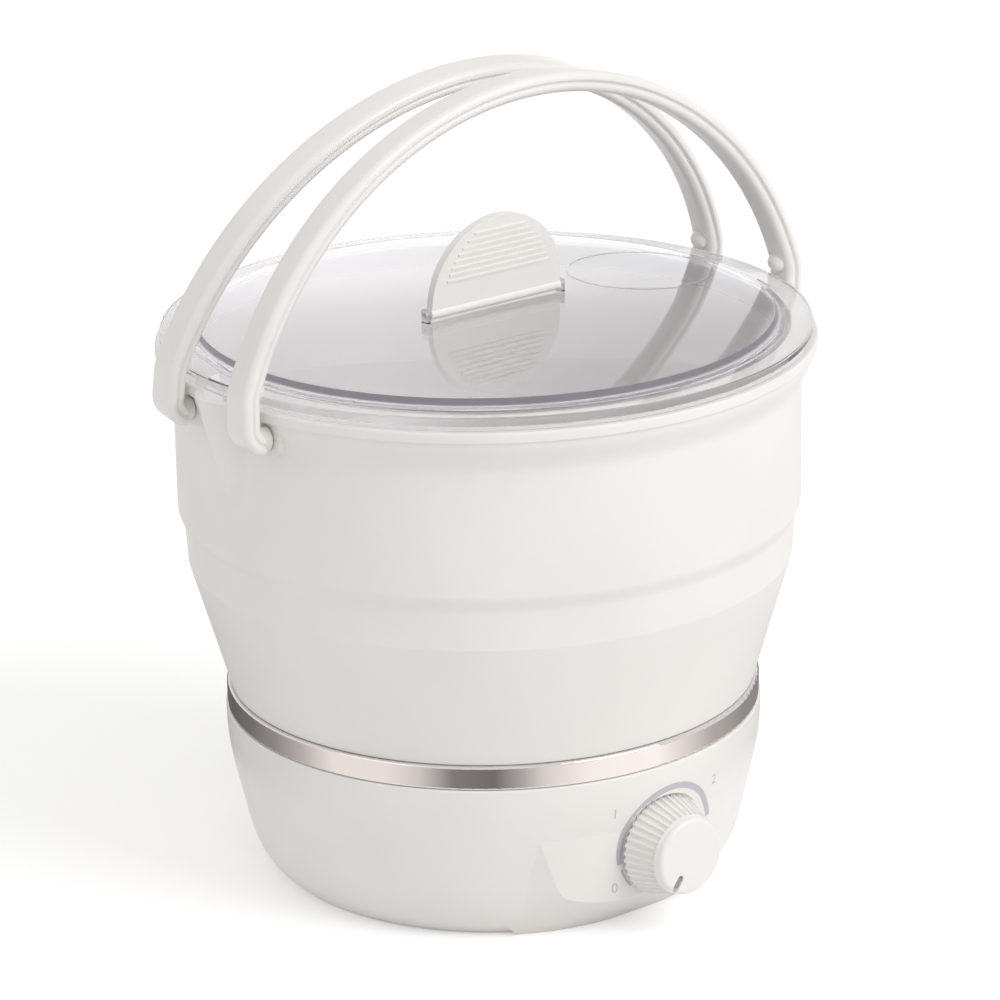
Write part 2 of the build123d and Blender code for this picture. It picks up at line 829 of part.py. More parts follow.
# Inlet screws
with BuildPart() as inlet_screws:
    with BuildSketch(Plane.XZ.offset(-inlet_face - inlet_head_height)):
        with Locations((0, inlet_height)):
            with GridLocations(inlet_screw_spacing, 0, 2, 1):
                Circle(inlet_head_radius)
    extrude(amount=inlet_head_height)
    with BuildSketch(Plane.XZ.offset(-inlet_face)):
        with Locations((0, inlet_height)):
            with GridLocations(inlet_screw_spacing, 0, 2, 1):
                Circle(screw_radius)
    extrude(amount=inlet_face - inlet_screw_tip)
inlet_screws.part.label = "inlet_screws"
export_step(inlet_screws.part, "parts/inlet_screws.step")


# Live lead from the inlet to the control
wire_start = pin_tail_end
control_tag_end = control_front - control_depth - control_tag_length
live_low = inlet_height - inlet_pin_drop
with BuildPart() as live_lead:
    with BuildLine() as live_path:
        FilletPolyline(
            (inlet_pin_spacing, wire_start, live_low),
            (inlet_pin_spacing, earth_tag_reach, live_low),
            (control_tag_reach, -earth_tag_reach, knob_height),
            (control_tag_reach, -control_tag_end, knob_height),
            radius=wire_bend,
        )
    with BuildSketch(Plane(origin=live_path.line @ 0, z_dir=live_path.line % 0)):
        Circle(wire_radius)
    sweep()
live_lead.part.label = "live_lead"
export_step(live_lead.part, "parts/live_lead.step")


# Switched lead from the control to the thermostat
blade_end = thermostat_low - blade_length
fuse_lead_height = blade_end - fuse_lead_drop
with BuildPart() as switched_lead:
    with BuildLine() as switched_path:
        FilletPolyline(
            (-control_tag_reach, -control_tag_end, knob_height),
            (-blade_reach, 0, knob_height),
            (-blade_reach, 0, blade_end),
            radius=wire_bend,
        )
    with BuildSketch(Plane(origin=switched_path.line @ 0, z_dir=switched_path.line % 0)):
        Circle(wire_radius)
    sweep()
switched_lead.part.label = "switched_lead"
export_step(switched_lead.part, "parts/switched_lead.step")


# Lead from the thermostat through the fuse to the heating element
element_tag = element_pin_low
with BuildPart() as fused_lead:
    with BuildLine() as fused_path:
        FilletPolyline(
            (blade_reach, 0, blade_end),
            (blade_reach, 0, fuse_lead_height),
            (element_pin_x, element_pin_y, fuse_lead_height),
            (element_pin_x, element_pin_y, element_tag),
            radius=wire_bend,
        )
    with BuildSketch(Plane(origin=fused_path.line @ 0, z_dir=fused_path.line % 0)):
        Circle(wire_radius)
    sweep()
fused_lead.part.label = "fused_lead"
export_step(fused_lead.part, "parts/fused_lead.step")


# Thermal fuse sleeve on that lead
fuse_plane = Plane(
    origin=((blade_reach + element_pin_x) * half_share, element_pin_y * half_share, fuse_lead_height),
    x_dir=(0, 0, 1),
    z_dir=(element_pin_x - blade_reach, element_pin_y, 0),
)
with BuildPart() as thermal_fuse:
    with BuildSketch(fuse_plane):
        Circle(fuse_radius)
        Circle(wire_radius + slip, mode=Mode.SUBTRACT)
    extrude(amount=fuse_length * half_share, both=True)
thermal_fuse.part.label = "thermal_fuse"
export_step(thermal_fuse.part, "parts/thermal_fuse.step")


# Neutral lead from the inlet to the heating element
with BuildPart() as neutral_lead:
    with BuildLine() as neutral_path:
        FilletPolyline(
            (-inlet_pin_spacing, wire_start, live_low),
            (-inlet_pin_spacing, wire_start - neutral_lead_run, live_low),
            (-element_pin_x, element_pin_y, live_low),
            (-element_pin_x, element_pin_y, element_tag),
            radius=wire_bend,
        )
    with BuildSketch(Plane(origin=neutral_path.line @ 0, z_dir=neutral_path.line % 0)):
        Circle(wire_radius)
    sweep()
neutral_lead.part.label = "neutral_lead"
export_step(neutral_lead.part, "parts/neutral_lead.step")


# Earth lead from the inlet to the heat spreader
earth_high = inlet_height + inlet_pin_rise
with BuildPart() as earth_lead:
    with BuildLine() as earth_path:
        FilletPolyline(
            (0, wire_start, earth_high),
            (0, earth_tag_reach, earth_high),
            (0, earth_tag_reach, spreader_low),
            radius=wire_bend,
        )
    with BuildSketch(Plane(origin=earth_path.line @ 0, z_dir=earth_path.line % 0)):
        Circle(wire_radius)
    sweep()
earth_lead.part.label = "earth_lead"
export_step(earth_lead.part, "parts/earth_lead.step")


# Soft lower wall, the part that folds
with BuildPart() as lower_wall:
    with BuildSketch(Plane.XZ):
        with BuildLine():
            Polyline(
                (wall_foot_inner_radius, plate_top),
                (plate_edge_radius, plate_top),
                (plate_edge_radius, wall_low),
                (cone_low_radius, wall_low),
                (cone_top_radius, cone_top_height),
                (cone_top_radius - wall_thickness, cone_top_height),
                (plate_edge_radius - wall_neck, foot_top),
                (wall_foot_inner_radius, foot_top),
                close=True,
            )
        make_face()
    revolve(axis=Axis.Z)
    with BuildSketch(Plane.XY.offset(plate_top)):
        with PolarLocations(clamp_screw_circle_radius, clamp_screw_count):
            Circle(wall_screw_slack)
    extrude(amount=wall_foot_thickness, mode=Mode.SUBTRACT)
lower_wall.part.label = "lower_wall"
export_step(lower_wall.part, "parts/lower_wall.step")


# Soft upper wall with rim and pouring lip
ear_offset = ear_spacing * half_share
ear_block = ear_top - pivot_height
with BuildPart() as upper_wall:
    with BuildSketch(Plane.XZ):
        with BuildLine():
            Polyline((0, cone_top_height), (cone_top_radius, cone_top_height), (band_top_radius, band_top_height))
            Spline(
                (band_top_radius, band_top_height),
                (upper_radius, step_top_height),
                tangents=((0, 1), (0, 1)),
            )
            Line((upper_radius, step_top_height), (upper_radius, rim_flare_height))
            Spline(
                (upper_radius, rim_flare_height),
                (rim_radius, rim_edge_height),
                tangents=((0, 1), (0, 1)),
            )
            Polyline((rim_radius, rim_edge_height), (rim_radius, rim_top), (0, rim_top), (0, cone_top_height))
        make_face()
    revolve(axis=Axis.Z)
    with BuildSketch(Plane.XY.offset(spout_low)):
        with Locations((-spout_tip_centre, 0)):
            Circle(spout_tip_radius)
    with BuildSketch(Plane.XY.offset(rim_top)):
        with Locations((-spout_centre, 0)):
            Circle(spout_mouth_radius)
    loft()
    with BuildSketch(Plane.XZ):
        with BuildLine():
            Polyline(
                (0, cone_top_height),
                (cone_top_radius - wall_thickness, cone_top_height),
                (band_top_radius - wall_thickness, band_top_height),
            )
            Spline(
                (band_top_radius - wall_thickness, band_top_height),
                (pot_bore, step_top_height),
                tangents=((0, 1), (0, 1)),
            )
            Polyline((pot_bore, step_top_height), (pot_bore, rim_top), (0, rim_top), (0, cone_top_height))
        make_face()
    revolve(axis=Axis.Z, mode=Mode.SUBTRACT)
    with BuildSketch(Plane.XY.offset(spout_low + spout_wall)):
        with Locations((-spout_tip_centre + spout_wall, 0)):
            Circle(spout_tip_radius - spout_wall + slip)
    with BuildSketch(Plane.XY.offset(rim_top)):
        with Locations((-spout_centre, 0)):
            Circle(spout_mouth_radius - spout_wall)
    loft(mode=Mode.SUBTRACT)
    with BuildSketch(Plane.XY.offset(frame_low)):
        Circle(pot_bore + frame_thickness + slip)
    extrude(amount=frame_top - frame_low, mode=Mode.SUBTRACT)
    with BuildSketch(Plane.YZ.offset(-rim_radius)):
        with Locations((-ear_offset, pivot_height), (ear_offset, pivot_height)):
            Circle(ear_width * half_share + slip)
        with Locations((-ear_offset, pivot_height + ear_block * half_share)):
            Rectangle(ear_width + slip + slip, ear_block)
        with Locations((ear_offset, pivot_height + ear_block * half_share)):
            Rectangle(ear_width + slip + slip, ear_block)
    extrude(amount=rim_radius + rim_radius, mode=Mode.SUBTRACT)
upper_wall.part.label = "upper_wall"
export_step(upper_wall.part, "parts/upper_wall.step")


# Stiff frame in the rim with four handle ears
with BuildPart() as rim_frame:
    with BuildSketch(Plane.YZ.offset(-ear_face)):
        with Locations((-ear_offset, pivot_height), (ear_offset, pivot_height)):
            Circle(ear_width * half_share)
        with Locations((-ear_offset, pivot_height + ear_block * half_share)):
            Rectangle(ear_width, ear_block)
        with Locations((ear_offset, pivot_height + ear_block * half_share)):
            Rectangle(ear_width, ear_block)
    extrude(amount=ear_face + ear_face)
    with BuildSketch(Plane.XY.offset(frame_low)):
        Circle(pot_bore + frame_thickness)
    extrude(amount=frame_top - frame_low)
    with BuildSketch(Plane.XY.offset(frame_low - overrun)):
        Circle(pot_bore)
    extrude(amount=frame_top - frame_low + overrun + overrun, mode=Mode.SUBTRACT)
    with BuildSketch(Plane.XY.offset(frame_low - overrun)):
        with Locations((-pot_bore, 0)):
            Rectangle(spout_mouth_radius + spout_mouth_radius, spout_gap + spout_gap)
    extrude(amount=frame_top - frame_low + overrun + overrun, mode=Mode.SUBTRACT)
    with BuildSketch(Plane.YZ.offset(-ear_face)):
        with Locations((-ear_offset, pivot_height), (ear_offset, pivot_height)):
            Circle(pin_radius + slip)
    extrude(amount=ear_face + ear_face, mode=Mode.SUBTRACT)
rim_frame.part.label = "rim_frame"
export_step(rim_frame.part, "parts/rim_frame.step")


# Handle pivot pins
with BuildPart() as handle_pins:
    with BuildSketch(Plane.YZ.offset(pin_root)):
        with Locations((-ear_offset, pivot_height), (ear_offset, pivot_height)):
            Circle(pin_radius)
    extrude(amount=pin_tip - pin_root)
    with BuildSketch(Plane.YZ.offset(-pin_tip)):
        with Locations((-ear_offset, pivot_height), (ear_offset, pivot_height)):
            Circle(pin_radius)
    extrude(amount=pin_tip - pin_root)
handle_pins.part.label = "handle_pins"
export_step(handle_pins.part, "parts/handle_pins.step")


# Shared shape of the two carrying handles
collar_face = ear_face + touch_gap
leg_inner = collar_face + collar_length
rib_depth = handle_flange + handle_groove
handle_depth = rib_depth + handle_rib
handle_leg_reach = leg_inner + handle_depth
hook_end = leg_inner - hook_inset
ball_reach = leg_inner - ball_proud
handle_arch_radius = sqrt(handle_leg_reach**2 + (handle_shoulder + handle_arch_drop) ** 2)
collar_centre = (collar_face + leg_inner) * half_share
bore_centre = (collar_face + bore_tip) * half_share
lean = radians(front_lean)
front_plane = Plane(origin=(0, -ear_offset, pivot_height), x_dir=(1, 0, 0), z_dir=(0, -cos(lean), sin(lean)))
rear_axis = Axis((0, ear_offset, pivot_height), (1, 0, 0))

# Outline of a handle: arch, legs, and the bottom where the legs hook inwards
with BuildSketch() as handle_outline:
    with BuildLine():
        Line((handle_leg_reach, -hook_drop), (handle_leg_reach, handle_shoulder))
        ThreePointArc(
            (handle_leg_reach, handle_shoulder),
            (0, handle_arch_radius - handle_arch_drop),
            (-handle_leg_reach, handle_shoulder),
        )
        Polyline(
            (-handle_leg_reach, handle_shoulder),
            (-handle_leg_reach, -hook_drop),
            (handle_leg_reach, -hook_drop),
        )
    make_face()
    fillet([corner for corner in handle_outline.vertices() if corner.Y > 0], handle_kink_round)
    fillet([corner for corner in handle_outline.vertices() if corner.Y < 0], hook_round)

# The same outline at the bottom of the flange, at the rib and on the inner side
with BuildSketch() as groove_outline:
    offset(handle_outline.sketch, amount=-handle_flange, kind=Kind.INTERSECTION)
with BuildSketch() as rib_outline:
    offset(handle_outline.sketch, amount=-rib_depth, kind=Kind.INTERSECTION)
with BuildSketch() as inner_outline:
    offset(handle_outline.sketch, amount=-handle_depth, kind=Kind.INTERSECTION)


def side_edges(edges, outline, width):
    """The long edges of a handle that follow an outline on both its sides."""
    chosen = []
    path = outline.sketch.wires()[0]
    for edge in edges:
        spot = front_plane.to_local_coords(edge @ half_share)
        on_side = abs(abs(spot.Z) - width * half_share) < slip
        if on_side and path.distance_to(Vector(spot.X, spot.Y, 0)) < slip:
            chosen.append(edge)
    return chosen


# Front carrying handle
with BuildPart(front_plane) as front_handle:
    with BuildSketch(front_plane):
        add(handle_outline.sketch)
        add(groove_outline.sketch, mode=Mode.SUBTRACT)
        Rectangle(hook_end + hook_end, handle_width + handle_width, mode=Mode.SUBTRACT)
    extrude(amount=handle_width * half_share, both=True)
    with BuildSketch(front_plane):
        add(groove_outline.sketch)
        add(rib_outline.sketch, mode=Mode.SUBTRACT)
        Rectangle(hook_end + hook_end, handle_width + handle_width, mode=Mode.SUBTRACT)
    extrude(amount=handle_neck_width * half_share, both=True)
    with BuildSketch(front_plane):
        add(rib_outline.sketch)
        add(inner_outline.sketch, mode=Mode.SUBTRACT)
        Rectangle(hook_end + hook_end, handle_width + handle_width, mode=Mode.SUBTRACT)
    extrude(amount=handle_rib_width * half_share, both=True)
    fillet(side_edges(front_handle.edges(), handle_outline, handle_width), handle_round)
    fillet(side_edges(front_handle.edges(), inner_outline, handle_rib_width), handle_rib_round)
    with Locations((-collar_centre, 0, 0), (collar_centre, 0, 0)):
        Cylinder(collar_radius, leg_inner - collar_face, rotation=(0, quarter_turn, 0))
    with Locations((-ball_reach, ball_rise, 0), (ball_reach, ball_rise, 0)):
        Sphere(ball_radius)
    with Locations((-bore_centre, 0, 0), (bore_centre, 0, 0)):
        Cylinder(pin_radius + slip, bore_tip - collar_face, rotation=(0, quarter_turn, 0), mode=Mode.SUBTRACT)
front_handle.part.label = "front_handle"
export_step(front_handle.part, "parts/front_handle.step")


# Rear carrying handle, the mirror of the front one at its own lean
with BuildPart() as rear_handle:
    add(front_handle.part.mirror(Plane.XZ).rotate(rear_axis, rear_lean - front_lean))
rear_handle.part.label = "rear_handle"
export_step(rear_handle.part, "parts/rear_handle.step")


# Clear lid
lid_dome_radius = (lid_plate_radius**2 + lid_sag**2) / (lid_sag + lid_sag)
lid_half_radius = lid_plate_radius * half_share
lid_half_height = lid_crown - lid_dome_radius + sqrt(lid_dome_radius**2 - lid_half_radius**2)
skirt_inner = lid_skirt_radius - lid_skirt_thickness
lug_centre = tab_barrel_length * half_share + lug_gap + lug_width * half_share
lid_ring_centre = lid_plate_radius - lid_ring_inset - lid_ring_radius
with BuildPart() as raised_ring:
    with BuildSketch(Plane.XY.offset(lid_plate_edge - lid_thickness)):
        with Locations((lid_ring_centre, 0)):
            Circle(lid_ring_radius)
            Circle(lid_ring_radius - lid_ring_width, mode=Mode.SUBTRACT)
    extrude(amount=lid_thickness + lid_sag)
    with Locations((0, 0, lid_crown - lid_dome_radius)):
        Sphere(lid_dome_radius + lid_ring_proud, mode=Mode.INTERSECT)
    with Locations((0, 0, lid_crown - lid_dome_radius)):
        Sphere(lid_dome_radius - lid_ring_proud, mode=Mode.SUBTRACT)


with BuildPart() as lid_panel:
    with BuildSketch(Plane.XZ):
        with BuildLine():
            ThreePointArc((0, lid_crown), (lid_half_radius, lid_half_height), (lid_plate_radius, lid_plate_edge))
            Polyline(
                (lid_plate_radius, lid_plate_edge),
                (lid_bevel_radius, lid_flange_top),
                (lid_radius, lid_flange_top),
                (lid_radius, rim_top),
                (lid_skirt_radius, rim_top),
                (lid_skirt_radius, lid_skirt_low),
                (skirt_inner, lid_skirt_low),
                (skirt_inner, lid_flange_top - lid_thickness),
                (lid_plate_radius, lid_plate_edge - lid_thickness),
            )
            ThreePointArc(
                (lid_plate_radius, lid_plate_edge - lid_thickness),
                (lid_half_radius, lid_half_height - lid_thickness),
                (0, lid_crown - lid_thickness),
            )
            Line((0, lid_crown - lid_thickness), (0, lid_crown))
        make_face()
    revolve(axis=Axis.Z)
    lid_circles = lid_panel.edges().filter_by(GeomType.CIRCLE)
    fillet([edge for edge in lid_circles if abs(edge.radius - lid_radius) < slip], lid_edge_round)
    with BuildSketch(Plane.XY.offset(lid_flange_top - lid_groove_depth)):
        Circle(lid_groove_radius + lid_groove_width)
        Circle(lid_groove_radius, mode=Mode.SUBTRACT)
    extrude(amount=lid_groove_depth, mode=Mode.SUBTRACT)
    add(raised_ring.part)
    with Locations((-lug_centre, -tab_forward, lug_low), (lug_centre, -tab_forward, lug_low)):
        Box(lug_width, lug_depth, lug_top - lug_low, align=low_end)
    with Locations((0, -tab_forward, tab_hinge_height)):
        Cylinder(tab_pin_radius + slip, tab_pin_length + overrun, rotation=(0, quarter_turn, 0), mode=Mode.SUBTRACT)
lid_panel.part.label = "lid_panel"
export_step(lid_panel.part, "parts/lid_panel.step")


# Hinge pin of the tab
with BuildPart() as tab_pin:
    with Locations((0, -tab_forward, tab_hinge_height)):
        Cylinder(tab_pin_radius, tab_pin_length, rotation=(0, quarter_turn, 0))
tab_pin.part.label = "tab_pin"
export_step(tab_pin.part, "parts/tab_pin.step")


# Folding tab
tilt = radians(tab_lean)
tab_plane = Plane(origin=(0, -tab_forward, tab_hinge_height), x_dir=(1, 0, 0), z_dir=(0, -cos(tilt), sin(tilt)))
rib_rows = [tab_rib_first + tab_rib_step * row for row in range(tab_rib_count)]
with BuildPart(tab_plane) as lid_tab:
    with BuildSketch(tab_plane):
        with BuildLine():
            Line((-tab_radius, 0), (tab_radius, 0))
            Line((tab_radius, 0), (tab_radius, tab_straight))
            ThreePointArc((tab_radius, tab_straight), (0, tab_straight + tab_radius), (-tab_radius, tab_straight))
            Line((-tab_radius, tab_straight), (-tab_radius, 0))
        make_face()
    extrude(amount=tab_thickness * half_share, both=True)
    Cylinder(tab_barrel_radius, tab_barrel_length, rotation=(0, quarter_turn, 0))
    for rib_height in rib_rows:
        rib_half = sqrt(tab_radius**2 - (rib_height - tab_straight) ** 2) - tab_rib_margin
        with Locations((0, rib_height, tab_thickness * half_share)):
            Box(rib_half + rib_half, tab_rib_height, tab_rib_proud + tab_rib_proud)
    Cylinder(tab_pin_radius + slip, tab_pin_length, rotation=(0, quarter_turn, 0), mode=Mode.SUBTRACT)
lid_tab.part.label = "lid_tab"
export_step(lid_tab.part, "parts/lid_tab.step")
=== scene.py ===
from math import acos, atan2, cos, pi, radians, sin, sqrt

import bmesh
import bpy
from mathutils import Matrix, Vector
from mathutils.bvhtree import BVHTree


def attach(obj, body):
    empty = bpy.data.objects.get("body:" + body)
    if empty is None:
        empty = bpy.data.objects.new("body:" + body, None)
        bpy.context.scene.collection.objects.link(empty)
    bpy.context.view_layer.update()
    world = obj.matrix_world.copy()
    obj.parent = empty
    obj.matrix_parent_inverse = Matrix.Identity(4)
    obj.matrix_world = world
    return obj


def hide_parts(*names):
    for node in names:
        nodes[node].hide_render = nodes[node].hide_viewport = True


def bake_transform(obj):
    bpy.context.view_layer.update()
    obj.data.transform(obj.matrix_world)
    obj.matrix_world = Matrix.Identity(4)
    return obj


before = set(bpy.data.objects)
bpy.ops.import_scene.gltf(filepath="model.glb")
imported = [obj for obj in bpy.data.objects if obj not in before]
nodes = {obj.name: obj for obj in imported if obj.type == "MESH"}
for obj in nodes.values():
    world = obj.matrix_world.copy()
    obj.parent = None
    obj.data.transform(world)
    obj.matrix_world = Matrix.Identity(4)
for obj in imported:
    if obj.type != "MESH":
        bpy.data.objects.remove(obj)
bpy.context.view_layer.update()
scene = bpy.context.scene
mm = 0.001


# Where the pot is seen from: a long lens, a little above, with the knob turned to the right.
pot_turn = radians(38.0)
camera_away = 1199.2 * mm
camera_height = 520.8 * mm
camera_pitch = radians(19.03)
camera_yaw = radians(0.143)
camera_roll = radians(-1.055)
camera_lens = 158.4
sensor_side = 36.0


def turned(v):
    """A direction of the camera's own frame, in the frame of the pot."""
    return Vector((
        cos(pot_turn) * v[0] + sin(pot_turn) * v[1],
        -sin(pot_turn) * v[0] + cos(pot_turn) * v[1],
        v[2],
    ))


def set_camera():
    forward = Vector((
        sin(camera_yaw) * cos(camera_pitch),
        cos(camera_yaw) * cos(camera_pitch),
        -sin(camera_pitch),
    ))
    right = Vector((cos(camera_yaw), -sin(camera_yaw), 0))
    up = right.cross(forward)
    rolled_right = right * cos(camera_roll) + up * sin(camera_roll)
    rolled_up = up * cos(camera_roll) - right * sin(camera_roll)
    axes = [turned(rolled_right), turned(rolled_up), -turned(forward)]
    place = turned((0, -camera_away, camera_height))
    data = bpy.data.cameras.new("photo_camera")
    data.lens = camera_lens
    data.sensor_width = sensor_side
    data.sensor_fit = "HORIZONTAL"
    data.clip_end = 50
    camera = bpy.data.objects.new("photo_camera", data)
    scene.collection.objects.link(camera)
    camera.matrix_world = Matrix((
        (axes[0][0], axes[1][0], axes[2][0], place[0]),
        (axes[0][1], axes[1][1], axes[2][1], place[1]),
        (axes[0][2], axes[1][2], axes[2][2], place[2]),
        (0, 0, 0, 1),
    ))
    scene.camera = camera


set_camera()
scene.view_settings.view_transform = "Standard"


# shader tools

def link(tree, source, target):
    tree.links.new(source, target)


def add_node(tree, kind, **values):
    n = tree.nodes.new(kind)
    for key, value in values.items():
        setattr(n, key, value)
    return n


def new_group(name, inputs, outputs):
    """An empty shader group with float inputs (name, value) and outputs by name."""
    tree = bpy.data.node_groups.new(name, "ShaderNodeTree")
    for socket_name, value in inputs:
        socket = tree.interface.new_socket(socket_name, in_out="INPUT", socket_type="NodeSocketFloat")
        socket.default_value = value
    for socket_name in outputs:
        tree.interface.new_socket(socket_name, in_out="OUTPUT", socket_type="NodeSocketFloat")
    return tree, tree.nodes.new("NodeGroupInput"), tree.nodes.new("NodeGroupOutput")


def math_node(tree, operation, first, second):
    n = add_node(tree, "ShaderNodeMath", operation=operation)
    for place, value in enumerate((first, second)):
        if isinstance(value, (int, float)):
            n.inputs[place].default_value = value
        else:
            link(tree, value, n.inputs[place])
    return n.outputs[0]


def make_mould_grain():
    """Fine spark-eroded mould texture, with a slow drift in tone."""
    tree, inside, outside = new_group(
        "mould_grain", [("Grain Scale", 6000.0), ("Drift Scale", 30.0)], ["Height", "Drift", "Speckle"]
    )
    place = add_node(tree, "ShaderNodeTexCoord")
    grain = add_node(tree, "ShaderNodeTexNoise")
    grain.inputs["Detail"].default_value = 3.0
    link(tree, place.outputs["Object"], grain.inputs["Vector"])
    link(tree, inside.outputs["Grain Scale"], grain.inputs["Scale"])
    drift = add_node(tree, "ShaderNodeTexNoise")
    drift.inputs["Detail"].default_value = 2.0
    link(tree, place.outputs["Object"], drift.inputs["Vector"])
    link(tree, inside.outputs["Drift Scale"], drift.inputs["Scale"])
    speckle = add_node(tree, "ShaderNodeTexVoronoi")
    link(tree, place.outputs["Object"], speckle.inputs["Vector"])
    link(tree, math_node(tree, "MULTIPLY", inside.outputs["Grain Scale"], 0.25), speckle.inputs["Scale"])
    link(tree, grain.outputs["Fac"], outside.inputs["Height"])
    link(tree, drift.outputs["Fac"], outside.inputs["Drift"])
    link(tree, speckle.outputs["Distance"], outside.inputs["Speckle"])
    return tree


def make_turned_lines():
    """Fine lathe lines about the Z axis: rings on a flat face, hoops on an upright one."""
    tree, inside, outside = new_group(
        "turned_lines", [("Line Scale", 9000.0), ("Flow Scale", 40.0)], ["Height", "Streak"]
    )
    place = add_node(tree, "ShaderNodeTexCoord")
    split = add_node(tree, "ShaderNodeSeparateXYZ")
    link(tree, place.outputs["Object"], split.inputs[0])
    across = math_node(tree, "MULTIPLY", split.outputs["X"], split.outputs["X"])
    along = math_node(tree, "MULTIPLY", split.outputs["Y"], split.outputs["Y"])
    reach = math_node(tree, "SQRT", math_node(tree, "ADD", across, along), 0.0)
    turn = math_node(tree, "ARCTAN2", split.outputs["Y"], split.outputs["X"])
    join = add_node(tree, "ShaderNodeCombineXYZ")
    link(tree, math_node(tree, "MULTIPLY", reach, inside.outputs["Line Scale"]), join.inputs["X"])
    link(tree, math_node(tree, "MULTIPLY", turn, 3.0), join.inputs["Y"])
    upward = math_node(tree, "MULTIPLY", split.outputs["Z"], inside.outputs["Line Scale"])
    link(tree, upward, join.inputs["Z"])
    lines = add_node(tree, "ShaderNodeTexNoise")
    lines.inputs["Scale"].default_value = 1.0
    lines.inputs["Detail"].default_value = 2.0
    link(tree, join.outputs[0], lines.inputs["Vector"])
    flow = add_node(tree, "ShaderNodeTexNoise")
    link(tree, place.outputs["Object"], flow.inputs["Vector"])
    link(tree, inside.outputs["Flow Scale"], flow.inputs["Scale"])
    link(tree, lines.outputs["Fac"], outside.inputs["Height"])
    link(tree, flow.outputs["Fac"], outside.inputs["Streak"])
    return tree


mould_grain = make_mould_grain()
turned_lines = make_turned_lines()


def start_material(name):
    material = bpy.data.materials.new(name)
    material.use_nodes = True
    tree = material.node_tree
    return material, tree, tree.nodes["Principled BSDF"]


def place_group(tree, group, **values):
    n = add_node(tree, "ShaderNodeGroup", node_tree=group)
    for key, value in values.items():
        n.inputs[key.replace("_", " ")].default_value = value
    return n


def spread(tree, mask, low, high):
    """A value that goes from low to high over the middle of a noise mask."""
    n = add_node(tree, "ShaderNodeMapRange")
    n.inputs["From Min"].default_value = 0.3
    n.inputs["From Max"].default_value = 0.7
    n.inputs["To Min"].default_value = low
    n.inputs["To Max"].default_value = high
    link(tree, mask, n.inputs["Value"])
    return n.outputs[0]


def two_tones(tree, mask, tone_a, tone_b):
    n = add_node(tree, "ShaderNodeMix", data_type="RGBA")
    link(tree, spread(tree, mask, 0.0, 1.0), n.inputs["Factor"])
    n.inputs["A"].default_value = (*tone_a, 1)
    n.inputs["B"].default_value = (*tone_b, 1)
    return n.outputs["Result"]


def bumped(tree, height, distance, strength):
    n = add_node(tree, "ShaderNodeBump")
    n.inputs["Distance"].default_value = distance
    n.inputs["Strength"].default_value = strength
    link(tree, height, n.inputs["Height"])
    return n.outputs["Normal"]


def moulded(
    name, tone_a, tone_b, rough, grain_scale, grain_depth, metal=0.0, shine=0.5, sheen=0.0, worn="Speckle"
):
    """A moulded or cast surface: two close tones, a band of roughness that follows worn, and a fine grain."""
    material, tree, bsdf = start_material(name)
    grain = place_group(tree, mould_grain, Grain_Scale=grain_scale, Drift_Scale=28.0)
    link(tree, two_tones(tree, grain.outputs["Drift"], tone_a, tone_b), bsdf.inputs["Base Color"])
    link(tree, spread(tree, grain.outputs[worn], rough[0], rough[1]), bsdf.inputs["Roughness"])
    link(tree, bumped(tree, grain.outputs["Height"], grain_depth, 0.6), bsdf.inputs["Normal"])
    bsdf.inputs["Metallic"].default_value = metal
    bsdf.inputs["Specular IOR Level"].default_value = shine
    bsdf.inputs["Sheen Weight"].default_value = sheen
    return material


def lathe_metal(name, tone_a, tone_b, rough, line_scale, line_depth):
    """Metal with fine turned lines."""
    material, tree, bsdf = start_material(name)
    lines = place_group(tree, turned_lines, Line_Scale=line_scale, Flow_Scale=60.0)
    link(tree, two_tones(tree, lines.outputs["Streak"], tone_a, tone_b), bsdf.inputs["Base Color"])
    link(tree, spread(tree, lines.outputs["Height"], rough[0], rough[1]), bsdf.inputs["Roughness"])
    link(tree, bumped(tree, lines.outputs["Height"], line_depth, 0.5), bsdf.inputs["Normal"])
    bsdf.inputs["Metallic"].default_value = 1.0
    return material


def between(tree, value, low, high):
    """A mask that is one where a value lies between low and high."""
    above = math_node(tree, "GREATER_THAN", value, low)
    below = math_node(tree, "LESS_THAN", value, high)
    return math_node(tree, "MULTIPLY", above, below)


